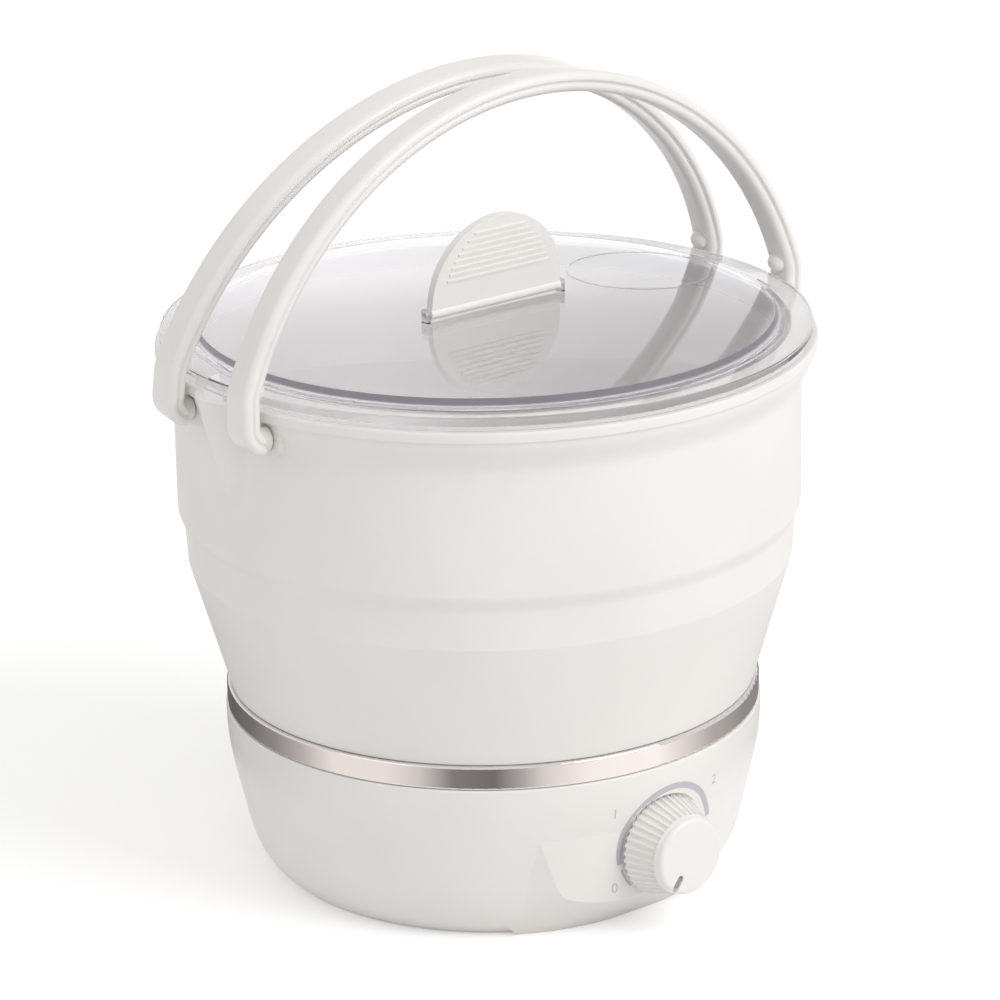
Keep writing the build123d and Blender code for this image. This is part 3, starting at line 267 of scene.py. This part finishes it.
def make_lid_clear():
    """Clear moulded lid: a trace of haze, frosted lugs, and a bevel with a painted sheen, a pale lavender
    emission glow. Lamps shine through it.
    """
    material, tree, bsdf = start_material("lid_clear")
    grain = place_group(tree, mould_grain, Grain_Scale=900.0, Drift_Scale=22.0)
    place = add_node(tree, "ShaderNodeTexCoord")
    split = add_node(tree, "ShaderNodeSeparateXYZ")
    link(tree, place.outputs["Object"], split.inputs[0])
    across = math_node(tree, "MULTIPLY", split.outputs["X"], split.outputs["X"])
    along = math_node(tree, "MULTIPLY", split.outputs["Y"], split.outputs["Y"])
    reach = math_node(tree, "SQRT", math_node(tree, "ADD", across, along), 0.0)
    bevel = between(tree, reach, lid_bevel[0] * mm, lid_bevel[1] * mm)
    high = math_node(tree, "GREATER_THAN", split.outputs["Z"], lid_bevel_low * mm)
    bevel = math_node(tree, "MULTIPLY", bevel, high)
    lugs = math_node(tree, "GREATER_THAN", split.outputs["Z"], lid_crown * mm)
    frosted = math_node(tree, "MULTIPLY", math_node(tree, "MAXIMUM", bevel, lugs), lid_frost)
    haze = spread(tree, grain.outputs["Drift"], 0.0, 0.03)
    link(tree, math_node(tree, "MAXIMUM", haze, frosted), bsdf.inputs["Roughness"])
    link(tree, bumped(tree, grain.outputs["Drift"], 0.00005, 0.25), bsdf.inputs["Normal"])
    # Painted sheen: the bevel mask makes the bevel glow pale lavender through Emission Color, though it is no
    # lamp.
    glow = add_node(tree, "ShaderNodeMix", data_type="RGBA")
    link(tree, bevel, glow.inputs["Factor"])
    glow.inputs["A"].default_value = (0, 0, 0, 1)
    glow.inputs["B"].default_value = (*painted_bevel_sheen, 1)
    link(tree, glow.outputs["Result"], bsdf.inputs["Emission Color"])
    bsdf.inputs["Emission Strength"].default_value = 0.2
    bsdf.inputs["Base Color"].default_value = (0.97, 0.965, 0.995, 1)
    bsdf.inputs["Transmission Weight"].default_value = 1.0
    bsdf.inputs["IOR"].default_value = 1.49
    path = add_node(tree, "ShaderNodeLightPath")
    through = add_node(tree, "ShaderNodeBsdfTransparent")
    mix = add_node(tree, "ShaderNodeMixShader")
    link(tree, path.outputs["Is Shadow Ray"], mix.inputs[0])
    link(tree, bsdf.outputs[0], mix.inputs[1])
    link(tree, through.outputs[0], mix.inputs[2])
    link(tree, mix.outputs[0], tree.nodes["Material Output"].inputs["Surface"])
    return material


lid_bevel = (81.9, 84.1)
lid_bevel_low = 162.3
lid_crown = 166.6
lid_frost = 0.55
# Painted sheen: the pale lavender tone the lid's bevel glows with, though it is no lamp.
painted_bevel_sheen = (0.78, 0.75, 0.84)

shell_satin = moulded(
    "shell_satin", (0.80, 0.78, 0.755), (0.83, 0.81, 0.785), (0.34, 0.42), 5200.0, 0.000004, shine=0.45
)
handle_gloss = moulded(
    "handle_gloss", (0.79, 0.77, 0.745), (0.82, 0.80, 0.775), (0.27, 0.31), 3000.0, 0.0000004, worn="Drift"
)
knob_satin = moulded("knob_satin", (0.80, 0.785, 0.76), (0.83, 0.815, 0.79), (0.32, 0.40), 5200.0, 0.000003)
wall_silicone = moulded(
    "wall_silicone", (0.80, 0.78, 0.755), (0.83, 0.81, 0.785), (0.50, 0.60), 7000.0, 0.000005,
    shine=0.4, sheen=0.05,
)
tab_plastic = moulded("tab_plastic", (0.85, 0.84, 0.80), (0.87, 0.86, 0.82), (0.32, 0.40), 4500.0, 0.000003)
foot_rubber = moulded(
    "foot_rubber", (0.30, 0.30, 0.30), (0.36, 0.36, 0.355), (0.70, 0.82), 4000.0, 0.00003, shine=0.3
)
dark_plastic = moulded(
    "dark_plastic", (0.020, 0.020, 0.022), (0.032, 0.032, 0.034), (0.40, 0.52), 4200.0, 0.00001
)
pointer_grey = moulded(
    "pointer_grey", (0.26, 0.26, 0.26), (0.32, 0.32, 0.315), (0.45, 0.55), 4200.0, 0.00001
)
sleeve_white = moulded(
    "sleeve_white", (0.78, 0.77, 0.74), (0.86, 0.85, 0.82), (0.62, 0.74), 1800.0, 0.00005, shine=0.3
)
spreader_cast = moulded(
    "spreader_cast", (0.58, 0.58, 0.59), (0.66, 0.66, 0.67), (0.38, 0.52), 1600.0, 0.00005, metal=1.0
)
terminal_brass = moulded(
    "terminal_brass", (0.66, 0.50, 0.22), (0.74, 0.58, 0.28), (0.24, 0.34), 2600.0, 0.00001, metal=1.0
)
wire_brown = moulded("wire_brown", (0.10, 0.045, 0.022), (0.13, 0.06, 0.03), (0.42, 0.52), 2600.0, 0.00002)
wire_blue = moulded("wire_blue", (0.02, 0.06, 0.30), (0.03, 0.08, 0.36), (0.42, 0.52), 2600.0, 0.00002)
wire_green = moulded("wire_green", (0.08, 0.24, 0.02), (0.55, 0.50, 0.03), (0.42, 0.52), 2600.0, 0.00002)
dial_print = moulded("dial_print", (0.47, 0.47, 0.52), (0.51, 0.51, 0.56), (0.46, 0.54), 5200.0, 0.000003)
number_print = moulded(
    "number_print", (0.52, 0.51, 0.51), (0.56, 0.55, 0.55), (0.46, 0.54), 5200.0, 0.000003
)
bright_trim = lathe_metal(
    "bright_trim", (0.82, 0.785, 0.775), (0.84, 0.805, 0.795), (0.07, 0.11), 2600.0, 0.0000005
)
plate_steel = lathe_metal(
    "plate_steel", (0.86, 0.855, 0.88), (0.91, 0.905, 0.93), (0.26, 0.40), 3200.0, 0.00001
)
fastener_steel = lathe_metal(
    "fastener_steel", (0.46, 0.46, 0.46), (0.56, 0.56, 0.56), (0.24, 0.36), 2200.0, 0.00001
)
lid_clear = make_lid_clear()

finishes = {
    shell_satin: ["base_housing", "bottom_cover", "rim_frame"],
    knob_satin: ["knob"],
    handle_gloss: ["front_handle", "rear_handle"],
    tab_plastic: ["lid_tab"],
    lid_clear: ["lid_panel"],
    bright_trim: ["trim_ring"],
    plate_steel: ["hot_plate", "wall_clamp_ring"],
    fastener_steel: [
        "cover_screws", "clamp_screws", "inlet_screws", "handle_pins", "tab_pin", "control_shaft",
        "control_nut", "thermostat_strap", "heating_element",
    ],
    spreader_cast: ["heat_spreader"],
    dark_plastic: ["power_inlet", "control_body", "limit_thermostat"],
    foot_rubber: ["feet", "plate_gasket"],
    pointer_grey: ["knob_pointer"],
    sleeve_white: ["thermal_fuse"],
    terminal_brass: ["inlet_pins"],
    wire_brown: ["live_lead", "switched_lead", "fused_lead"],
    wire_blue: ["neutral_lead"],
    wire_green: ["earth_lead"],
}


def dress_cad_nodes():
    for material, names in finishes.items():
        for name in names:
            slots = nodes[name].data.materials
            slots.clear()
            slots.append(material)


dress_cad_nodes()


# mesh tools

def finish_mesh(name, bm, material, sharp=None):
    """A new object from a bmesh in millimetres, smooth but for edges over the sharp angle."""
    mesh = bpy.data.meshes.new(name)
    bmesh.ops.scale(bm, vec=(mm, mm, mm), verts=bm.verts)
    bmesh.ops.recalc_face_normals(bm, faces=bm.faces)
    bm.to_mesh(mesh)
    bm.free()
    for face in mesh.polygons:
        face.use_smooth = True
    if sharp is not None:
        mesh.set_sharp_from_angle(angle=radians(sharp))
    mesh.materials.append(material)
    piece = bpy.data.objects.new(name, mesh)
    scene.collection.objects.link(piece)
    return piece


def arc_points(centre, radius, start, end, steps):
    """Points (r, z) on an arc, with angles in degrees."""
    spots = []
    for step in range(steps + 1):
        angle = radians(start + (end - start) * step / steps)
        spots.append((centre[0] + radius * cos(angle), centre[1] + radius * sin(angle)))
    return spots


def s_curve(low, high, steps):
    """Points from low to high that leave and arrive upright."""
    spots = []
    for step in range(steps + 1):
        t = step / steps
        ease = t * t * (3 - 2 * t)
        spots.append((low[0] + (high[0] - low[0]) * ease, low[1] + (high[1] - low[1]) * t))
    return spots


def fine_run(start, end, step):
    """Points along a straight run, at most step apart, without its last point."""
    length = sqrt((end[0] - start[0]) ** 2 + (end[1] - start[1]) ** 2)
    count = max(1, int(length / step + 0.5))
    return [
        (start[0] + (end[0] - start[0]) * i / count, start[1] + (end[1] - start[1]) * i / count)
        for i in range(count)
    ]


def lathe(name, profile, turns, material, shape=None, sharp=None):
    """A closed profile (r, z) turned about Z. shape moves a point by its angle."""
    bm = bmesh.new()
    hoops = []
    for turn in range(turns):
        angle = 2 * pi * turn / turns
        hoop = []
        for spot in profile:
            x, y, z = spot[0] * cos(angle), spot[0] * sin(angle), spot[1]
            if shape is not None:
                x, y, z = shape(x, y, z, spot[0])
            hoop.append(bm.verts.new((x, y, z)))
        hoops.append(hoop)
    count = len(profile)
    for turn in range(turns):
        here, there = hoops[turn], hoops[(turn + 1) % turns]
        for i in range(count):
            j = (i + 1) % count
            bm.faces.new((here[i], there[i], there[j], here[j]))
    return finish_mesh(name, bm, material, sharp)


# soft walls

fold_low, fold_top = 56.05, 94.0
cone_low_radius, cone_top_radius = 76.4, 87.2
upper_radius, bore_radius = 89.6, 86.5
band_radius, band_top = 87.8, 104.6
step_top = 110.4
rim_top = 158.3
rim_radius = 94.2
flare_low, lip_low, lip_step = 144.8, 155.1, 0.7
ear_offset, ear_half_width, ear_top = 18.3, 5.6, 155.0
ear_seat = 90.0
wall_skin = 1.5
band_wall = 3.0
lip_round, lip_rise = 0.4, 0.5
rim_round, bore_round, bore_top = 0.7, 0.3, 157.5
cone_bore_low, cone_bore_top = 70.8, 84.2
foot_radius, foot_bore, foot_low, foot_top = 72.9, 64.0, 52.8, 55.8
fold_round, cone_start = 0.5, (0.13, 0.9)

spout_half = 16.0
spout_top_centre, spout_top_radius = 87.5, 11.0
spout_tip_centre, spout_tip_radius, spout_tip_height = 88.6, 2.6, 128.0
spout_wall = 2.2


def spout_reach(y, z, thin):
    """How far out in -X the pouring lip reaches at this height and width, or None."""
    share = (z - spout_tip_height) / (rim_top - spout_tip_height)
    if share <= 0:
        return None
    centre = spout_tip_centre + (spout_top_centre - spout_tip_centre) * share
    radius = spout_tip_radius + (spout_top_radius - spout_tip_radius) * share - thin
    if radius <= abs(y):
        return None
    return centre + sqrt(radius * radius - y * y)


def with_spout(x, y, z, r):
    """Pushes the wall out to the pouring lip on the -X side."""
    if x >= 0 or abs(y) > spout_half:
        return x, y, z
    inside = r < upper_radius - wall_skin
    reach = spout_reach(y, z, spout_wall if inside else 0.0)
    if reach is None:
        return x, y, z
    return min(x, -reach), y, z


def wall_shape(x, y, z, r):
    """The pouring lip, and a flat seat behind each of the four handle ears."""
    outside = r > upper_radius - wall_skin and abs(x) > ear_seat
    if outside and z < ear_top and abs(abs(y) - ear_offset) < ear_half_width:
        x = ear_seat if x > 0 else -ear_seat
    return with_spout(x, y, z, r)


def make_upper_wall():
    band_bore = band_radius - band_wall
    outer = fine_run((cone_top_radius, fold_top), (band_radius, band_top), 2.0)
    outer += s_curve((band_radius, band_top), (upper_radius, step_top), 12)
    outer += fine_run((upper_radius, step_top), (upper_radius, flare_low), 3.0)[1:]
    outer += s_curve((upper_radius, flare_low), (rim_radius - lip_step, lip_low), 14)
    outer += arc_points((rim_radius - lip_round, lip_low + lip_rise), lip_round, -70, 0, 4)
    outer += arc_points((rim_radius - rim_round, rim_top - rim_round), rim_round, 0, 90, 5)
    inner = [(bore_radius + bore_round, rim_top)]
    inner += arc_points((bore_radius + bore_round, rim_top - bore_round), bore_round, 90, 180, 3)[1:]
    inner += fine_run((bore_radius, bore_top), (bore_radius, step_top), 4.0)[1:]
    inner += s_curve((band_bore, band_top), (bore_radius, step_top), 8)[::-1]
    inner += [(cone_bore_top, fold_top)]
    wall = lathe("upper_wall_skin", outer + inner, 288, wall_silicone, shape=wall_shape, sharp=40)
    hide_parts("upper_wall")
    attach(wall, "rim")
    return wall


def make_lower_wall():
    outer = [(foot_radius, foot_low), (foot_radius, fold_low)]
    outer += [(cone_low_radius - fold_round, fold_low)]
    outer += arc_points((cone_low_radius - fold_round, fold_low + fold_round), fold_round, -90, -14, 4)[1:]
    cone_foot = (cone_low_radius + cone_start[0], fold_low + cone_start[1])
    outer += fine_run(cone_foot, (cone_top_radius, fold_top), 1.5)
    outer += [(cone_top_radius, fold_top)]
    inner = [(cone_bore_top, fold_top)]
    inner += fine_run((cone_bore_top, fold_top), (cone_bore_low, foot_top), 1.5)[1:]
    inner += [(cone_bore_low, foot_top), (foot_bore, foot_top), (foot_bore, foot_low)]
    wall = lathe("lower_wall_skin", outer + inner, 240, wall_silicone, sharp=40)
    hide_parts("lower_wall")
    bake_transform(wall)
    return wall


make_upper_wall()
make_lower_wall()


# carrying handles

pivot_height, pivot_offset = 150.5, 18.3
front_tilt, rear_tilt = 1.6, 10.2
leg_reach, leg_inner = 100.6, 94.6
arch_drop, arch_shoulder = 19.4, 13.7
kink_round = 16.0
hook_round, hook_low, hook_end = 8.4, -3.8, 93.8
collar_radius, collar_bore, collar_face = 3.6, 2.1, 90.5
collar_round, collar_sink = 0.3, 0.6
ball_radius, ball_reach, ball_rise = 2.9, 94.2, 14.1
ball_pole = 0.02

# The section of a handle, as (depth, half width) from its outer face.
flange_round, flange_flat = 2.2, 2.8
valley = [(2.45, 4.9), (2.66, 4.66), (2.82, 4.36), (3.0, 4.16), (3.2, 4.16), (3.4, 4.36), (3.62, 4.56)]
bead_centre, bead_round = (3.9, 2.55), 2.1
handle_depth = 6.0


def handle_path():
    """The outer line of a handle from hook to hook: across, up, and the direction that faces out."""
    arch_radius = sqrt(leg_reach ** 2 + (arch_shoulder + arch_drop) ** 2)
    kink = leg_reach - kink_round
    kink_rise = sqrt((arch_radius - kink_round) ** 2 - kink ** 2)
    kink_turn = atan2(kink_rise, kink)
    hook_centre = (leg_reach - hook_round, hook_low + hook_round)
    hook_turn = acos((hook_end - hook_centre[0]) / hook_round)
    runs = [
        ((0, -arch_drop), arch_radius, pi / 2, kink_turn, 56),
        ((kink, kink_rise - arch_drop), kink_round, kink_turn, 0, 10),
        (hook_centre, hook_round, 0, -hook_turn, 16),
    ]
    half = []
    for centre, radius, start, end, steps in runs:
        for step in range(steps + 1):
            angle = start + (end - start) * step / steps
            half.append((centre[0] + radius * cos(angle), centre[1] + radius * sin(angle), angle))
    return [(-u, w, pi - angle) for u, w, angle in half[:0:-1]] + half


def handle_section():
    """The whole section of a handle: flange, soft valley and round bead on both sides."""
    corner = arc_points((0, 0), flange_round, 0, 90, 8)
    side = [(0, 0), (0, flange_flat / 2)] + [(flange_round - r, flange_flat + s) for r, s in corner]
    side += valley
    side += arc_points(bead_centre, bead_round, 90, 0, 8)
    side += [(handle_depth, handle_depth / 5)]
    return side + [(handle_depth, 0)] + [(depth, -half) for depth, half in side[:0:-1]]


def spin_about(bm, seat, profile, rise, turns):
    """A closed ring (radius, across) turned about a line across the handle."""
    hoops = []
    for turn in range(turns):
        angle = 2 * pi * turn / turns
        hoops.append([bm.verts.new(seat(u, rise + r * cos(angle), r * sin(angle))) for r, u in profile])
    for turn in range(turns):
        here, there = hoops[turn], hoops[(turn + 1) % turns]
        for i in range(len(profile)):
            j = (i + 1) % len(profile)
            bm.faces.new((here[i], there[i], there[j], here[j]))


def make_handle(name, node, body, offset, tilt):
    lean = radians(tilt)

    def seat(u, w, h):
        return (u, offset - w * sin(lean) + h * cos(lean), pivot_height + w * cos(lean) + h * sin(lean))

    bm = bmesh.new()
    section = handle_section()
    hoops = []
    for u, w, angle in handle_path():
        hoop = []
        for depth, half in section:
            across, up = u - depth * cos(angle), w - depth * sin(angle)
            if up < hook_low + hook_round and abs(across) < hook_end:
                across = hook_end if across > 0 else -hook_end
            hoop.append(bm.verts.new(seat(across, up, half)))
        hoops.append(hoop)
    count = len(section)
    for here, there in zip(hoops, hoops[1:]):
        for i in range(count):
            j = (i + 1) % count
            bm.faces.new((here[i], there[i], there[j], here[j]))
    bm.faces.new(hoops[0][::-1])
    bm.faces.new(hoops[-1])
    for side in (-1, 1):
        collar_end = leg_inner + collar_sink
        collar = [
            (collar_bore, collar_face), (collar_radius - collar_round, collar_face),
            (collar_radius, collar_face + collar_round), (collar_radius, collar_end), (collar_bore, collar_end),
        ]
        spin_about(bm, seat, [(r, side * u) for r, u in collar], 0, 40)
        half_circle = arc_points((0, 0), ball_radius, 180, 0, 18)
        ball = [(max(r, ball_pole), side * (ball_reach + u)) for u, r in half_circle]
        spin_about(bm, seat, ball, ball_rise, 36)
    handle = finish_mesh(name, bm, handle_gloss, sharp=42)
    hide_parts(node)
    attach(handle, body)
    return handle


make_handle("front_handle_skin", "front_handle", "front_bail", -pivot_offset, front_tilt)
make_handle("rear_handle_skin", "rear_handle", "rear_bail", pivot_offset, rear_tilt)


# print on the control panel

knob_height = 24.7
arc_shift, arc_rise = 2.0, 0.5
print_proud = 0.04
print_sunk = 0.10
arc_columns = 5


def panel_surface():
    """The outside of the base, to lay the print on."""
    shell = nodes["base_housing"]
    bpy.context.view_layer.update()
    corners = [shell.matrix_world @ corner.co for corner in shell.data.vertices]
    return BVHTree.FromPolygons(corners, [list(face.vertices) for face in shell.data.polygons])


panel = panel_surface()


def on_panel(u, v, lift):
    """A point of the panel's face, u to the right and v up from the knob's axis."""
    start = Vector((u * mm, -120 * mm, (knob_height + v) * mm))
    spot = panel.ray_cast(start, Vector((0, 1, 0)))[0]
    return (u, spot.y / mm - lift, knob_height + v)


def arc_strip(name, inner, outer, start, end):
    """A printed arc round the knob, angles in degrees from the right, against the clock."""
    bm = bmesh.new()
    steps = max(2, int(abs(end - start) / 2))
    rows = []
    for step in range(steps + 1):
        angle = radians(start + (end - start) * step / steps)
        face = [inner + (outer - inner) * column / arc_columns for column in range(arc_columns + 1)]
        spots = [(reach, print_proud) for reach in face] + [(reach, -print_sunk) for reach in face[::-1]]
        rows.append([
            bm.verts.new(on_panel(arc_shift + reach * cos(angle), arc_rise + reach * sin(angle), lift))
            for reach, lift in spots
        ])
    for here, there in zip(rows, rows[1:]):
        for i in range(len(here)):
            j = (i + 1) % len(here)
            bm.faces.new((here[i], there[i], there[j], here[j]))
    bm.faces.new(rows[0])
    bm.faces.new(rows[-1][::-1])
    return settle_print(finish_mesh(name, bm, dial_print, sharp=30))


def settle_print(piece):
    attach(piece, "base")
    return piece


def printed_number(name, text, right, up, size):
    """A plain number printed beside the arc."""
    words = bpy.data.curves.new(name + "_outline", "FONT")
    words.body = text
    words.size = size
    words.align_x = "CENTER"
    words.align_y = "CENTER"
    words.extrude = (print_proud + print_sunk) / 2
    words.resolution_u = 6
    draft = bpy.data.objects.new(name + "_outline", words)
    mesh = bpy.data.meshes.new_from_object(draft)
    bm = bmesh.new()
    bm.from_mesh(mesh)
    bpy.data.objects.remove(draft)
    bpy.data.curves.remove(words)
    bpy.data.meshes.remove(mesh)
    bmesh.ops.remove_doubles(bm, verts=bm.verts, dist=0.0005)
    for corner in bm.verts:
        u, v, depth = corner.co
        corner.co = on_panel(u + right, v + up, print_proud if depth > 0 else -print_sunk)
    return settle_print(finish_mesh(name, bm, number_print, sharp=30))


arc_strip("dial_arc", 15.7, 17.6, 192, 8)
arc_strip("dial_off_mark", 16.3, 16.9, 221, 198.5)
printed_number("dial_number_low", "1", -16.8, 13.3, 4.4)
printed_number("dial_number_off", "0", -15.7, -10.2, 4.4)
printed_number("dial_number_high", "2", 20.3, 13.5, 4.4)


# floor and lamps

def make_floor():
    bm = bmesh.new()
    side = 6000.0
    corners = [bm.verts.new((x * side, y * side, 0)) for x, y in ((-1, -1), (1, -1), (1, 1), (-1, 1))]
    bm.faces.new(corners)
    material, tree, bsdf = start_material("studio_floor")
    grain = place_group(tree, mould_grain, Grain_Scale=400.0, Drift_Scale=3.0)
    pale = two_tones(tree, grain.outputs["Drift"], (0.84, 0.84, 0.84), (0.85, 0.85, 0.85))
    link(tree, pale, bsdf.inputs["Base Color"])
    bsdf.inputs["Roughness"].default_value = 0.6
    bsdf.inputs["Specular IOR Level"].default_value = 0.0
    path = add_node(tree, "ShaderNodeLightPath")
    seen = math_node(tree, "MAXIMUM", path.outputs["Is Camera Ray"], path.outputs["Is Glossy Ray"])
    seen = math_node(tree, "MAXIMUM", seen, path.outputs["Is Transmission Ray"])
    glow = add_node(tree, "ShaderNodeEmission")
    link(tree, math_node(tree, "MULTIPLY", seen, floor_lift), glow.inputs["Strength"])
    both = add_node(tree, "ShaderNodeAddShader")
    link(tree, bsdf.outputs[0], both.inputs[0])
    link(tree, glow.outputs[0], both.inputs[1])
    link(tree, both.outputs[0], tree.nodes["Material Output"].inputs["Surface"])
    floor = finish_mesh("studio_floor", bm, material)


floor_lift = 0.30
make_floor()


# Dark and bright studio cards round the pot, seen only as reflections in bright metal:
# azimuth in degrees from the camera, and how bright the card is there.
card_tones = [
    (-180, 0.30), (-115, 0.13), (-92, 0.20), (-76, 0.32), (-62, 0.55), (-50, 0.95), (-32, 0.95),
    (-22, 0.75), (-12, 0.26), (0, 0.20), (8, 0.50), (15, 0.85), (28, 1.10), (50, 1.18),
    (60, 0.90), (75, 0.52), (100, 0.32), (130, 0.28), (180, 0.30),
]
card_radius = 120.0
card_low, card_top = 0.5, 60.0


def reflected_only(piece):
    piece.visible_camera = False
    piece.visible_diffuse = False
    piece.visible_transmission = False
    piece.visible_shadow = False


def card_glow(name, tint):
    """A glow that follows the tone painted on a card."""
    material, tree, bsdf = start_material(name)
    tree.nodes.remove(bsdf)
    tone = add_node(tree, "ShaderNodeAttribute", attribute_name="card_tone")
    glow = add_node(tree, "ShaderNodeEmission")
    glow.inputs["Color"].default_value = (*tint, 1)
    link(tree, tone.outputs["Fac"], glow.inputs["Strength"])
    link(tree, glow.outputs[0], tree.nodes["Material Output"].inputs["Surface"])
    return material


def make_cards():
    bm = bmesh.new()
    shade = bm.verts.layers.float.new("card_tone")
    steps = 180
    rows = []
    for step in range(steps):
        azimuth = -180 + 360 * step / steps
        for (here, dim), (there, lit) in zip(card_tones, card_tones[1:]):
            if here <= azimuth <= there:
                share = (azimuth - here) / (there - here)
                value = dim + (lit - dim) * share
        spot = turned((sin(radians(azimuth)), -cos(radians(azimuth)), 0)) * card_radius
        pair = [bm.verts.new((spot.x, spot.y, height)) for height in (card_low, card_top)]
        for corner in pair:
            corner[shade] = value
        rows.append(pair)
    for step in range(steps):
        here, there = rows[step], rows[(step + 1) % steps]
        bm.faces.new((here[0], there[0], there[1], here[1]))
    reflected_only(finish_mesh("studio_cards", bm, card_glow("studio_cards", (1.0, 0.95, 0.925))))


make_cards()


# A softbox behind the pot, seen only as a sheen on the far side of the lid: height and brightness.
sheen_tones = [(195.0, 1.75), (232.0, 1.75), (258.0, 1.18), (282.0, 1.0), (300.0, 1.0)]
sheen_away, sheen_half = 300.0, 170.0


def make_sheen():
    bm = bmesh.new()
    shade = bm.verts.layers.float.new("card_tone")
    rows = []
    for height, value in sheen_tones:
        row = [bm.verts.new((*turned((side * sheen_half, sheen_away, 0)).xy, height)) for side in (-1, 1)]
        for corner in row:
            corner[shade] = value
        rows.append(row)
    for here, there in zip(rows, rows[1:]):
        bm.faces.new((here[0], here[1], there[1], there[0]))
    reflected_only(finish_mesh("lid_softbox", bm, card_glow("lid_softbox", (1, 1, 1))))


make_sheen()


def make_world():
    world = bpy.data.worlds.new("studio")
    scene.world = world
    world.use_nodes = True
    tree = world.node_tree
    ambient = tree.nodes["Background"]
    ambient.inputs["Color"].default_value = (1.0, 0.995, 0.99, 1)
    ambient.inputs["Strength"].default_value = 0.74
    white = add_node(tree, "ShaderNodeBackground")
    white.inputs["Strength"].default_value = 1.0
    path = add_node(tree, "ShaderNodeLightPath")
    seen = math_node(tree, "MAXIMUM", path.outputs["Is Camera Ray"], path.outputs["Is Glossy Ray"])
    seen = math_node(tree, "MAXIMUM", seen, path.outputs["Is Transmission Ray"])
    mix = add_node(tree, "ShaderNodeMixShader")
    link(tree, seen, mix.inputs[0])
    link(tree, ambient.outputs[0], mix.inputs[1])
    link(tree, white.outputs[0], mix.inputs[2])
    link(tree, mix.outputs[0], tree.nodes["World Output"].inputs["Surface"])


make_world()


def area_lamp(name, place, target, side, power):
    data = bpy.data.lights.new(name, "AREA")
    data.shape = "SQUARE"
    data.size = side
    data.energy = power
    lamp = bpy.data.objects.new(name, data)
    scene.collection.objects.link(lamp)
    spot, aim = turned(place), Vector(target)
    lamp.location = spot
    lamp.rotation_euler = (aim - spot).to_track_quat("-Z", "Y").to_euler()
    return lamp


area_lamp("key_softbox", (1.5, -0.9, 1.5), (0, 0, 0.1), 1.3, 21.0)
area_lamp("fill_softbox", (-1.6, -1.2, 1.2), (0, 0, 0.1), 1.4, 2.4)
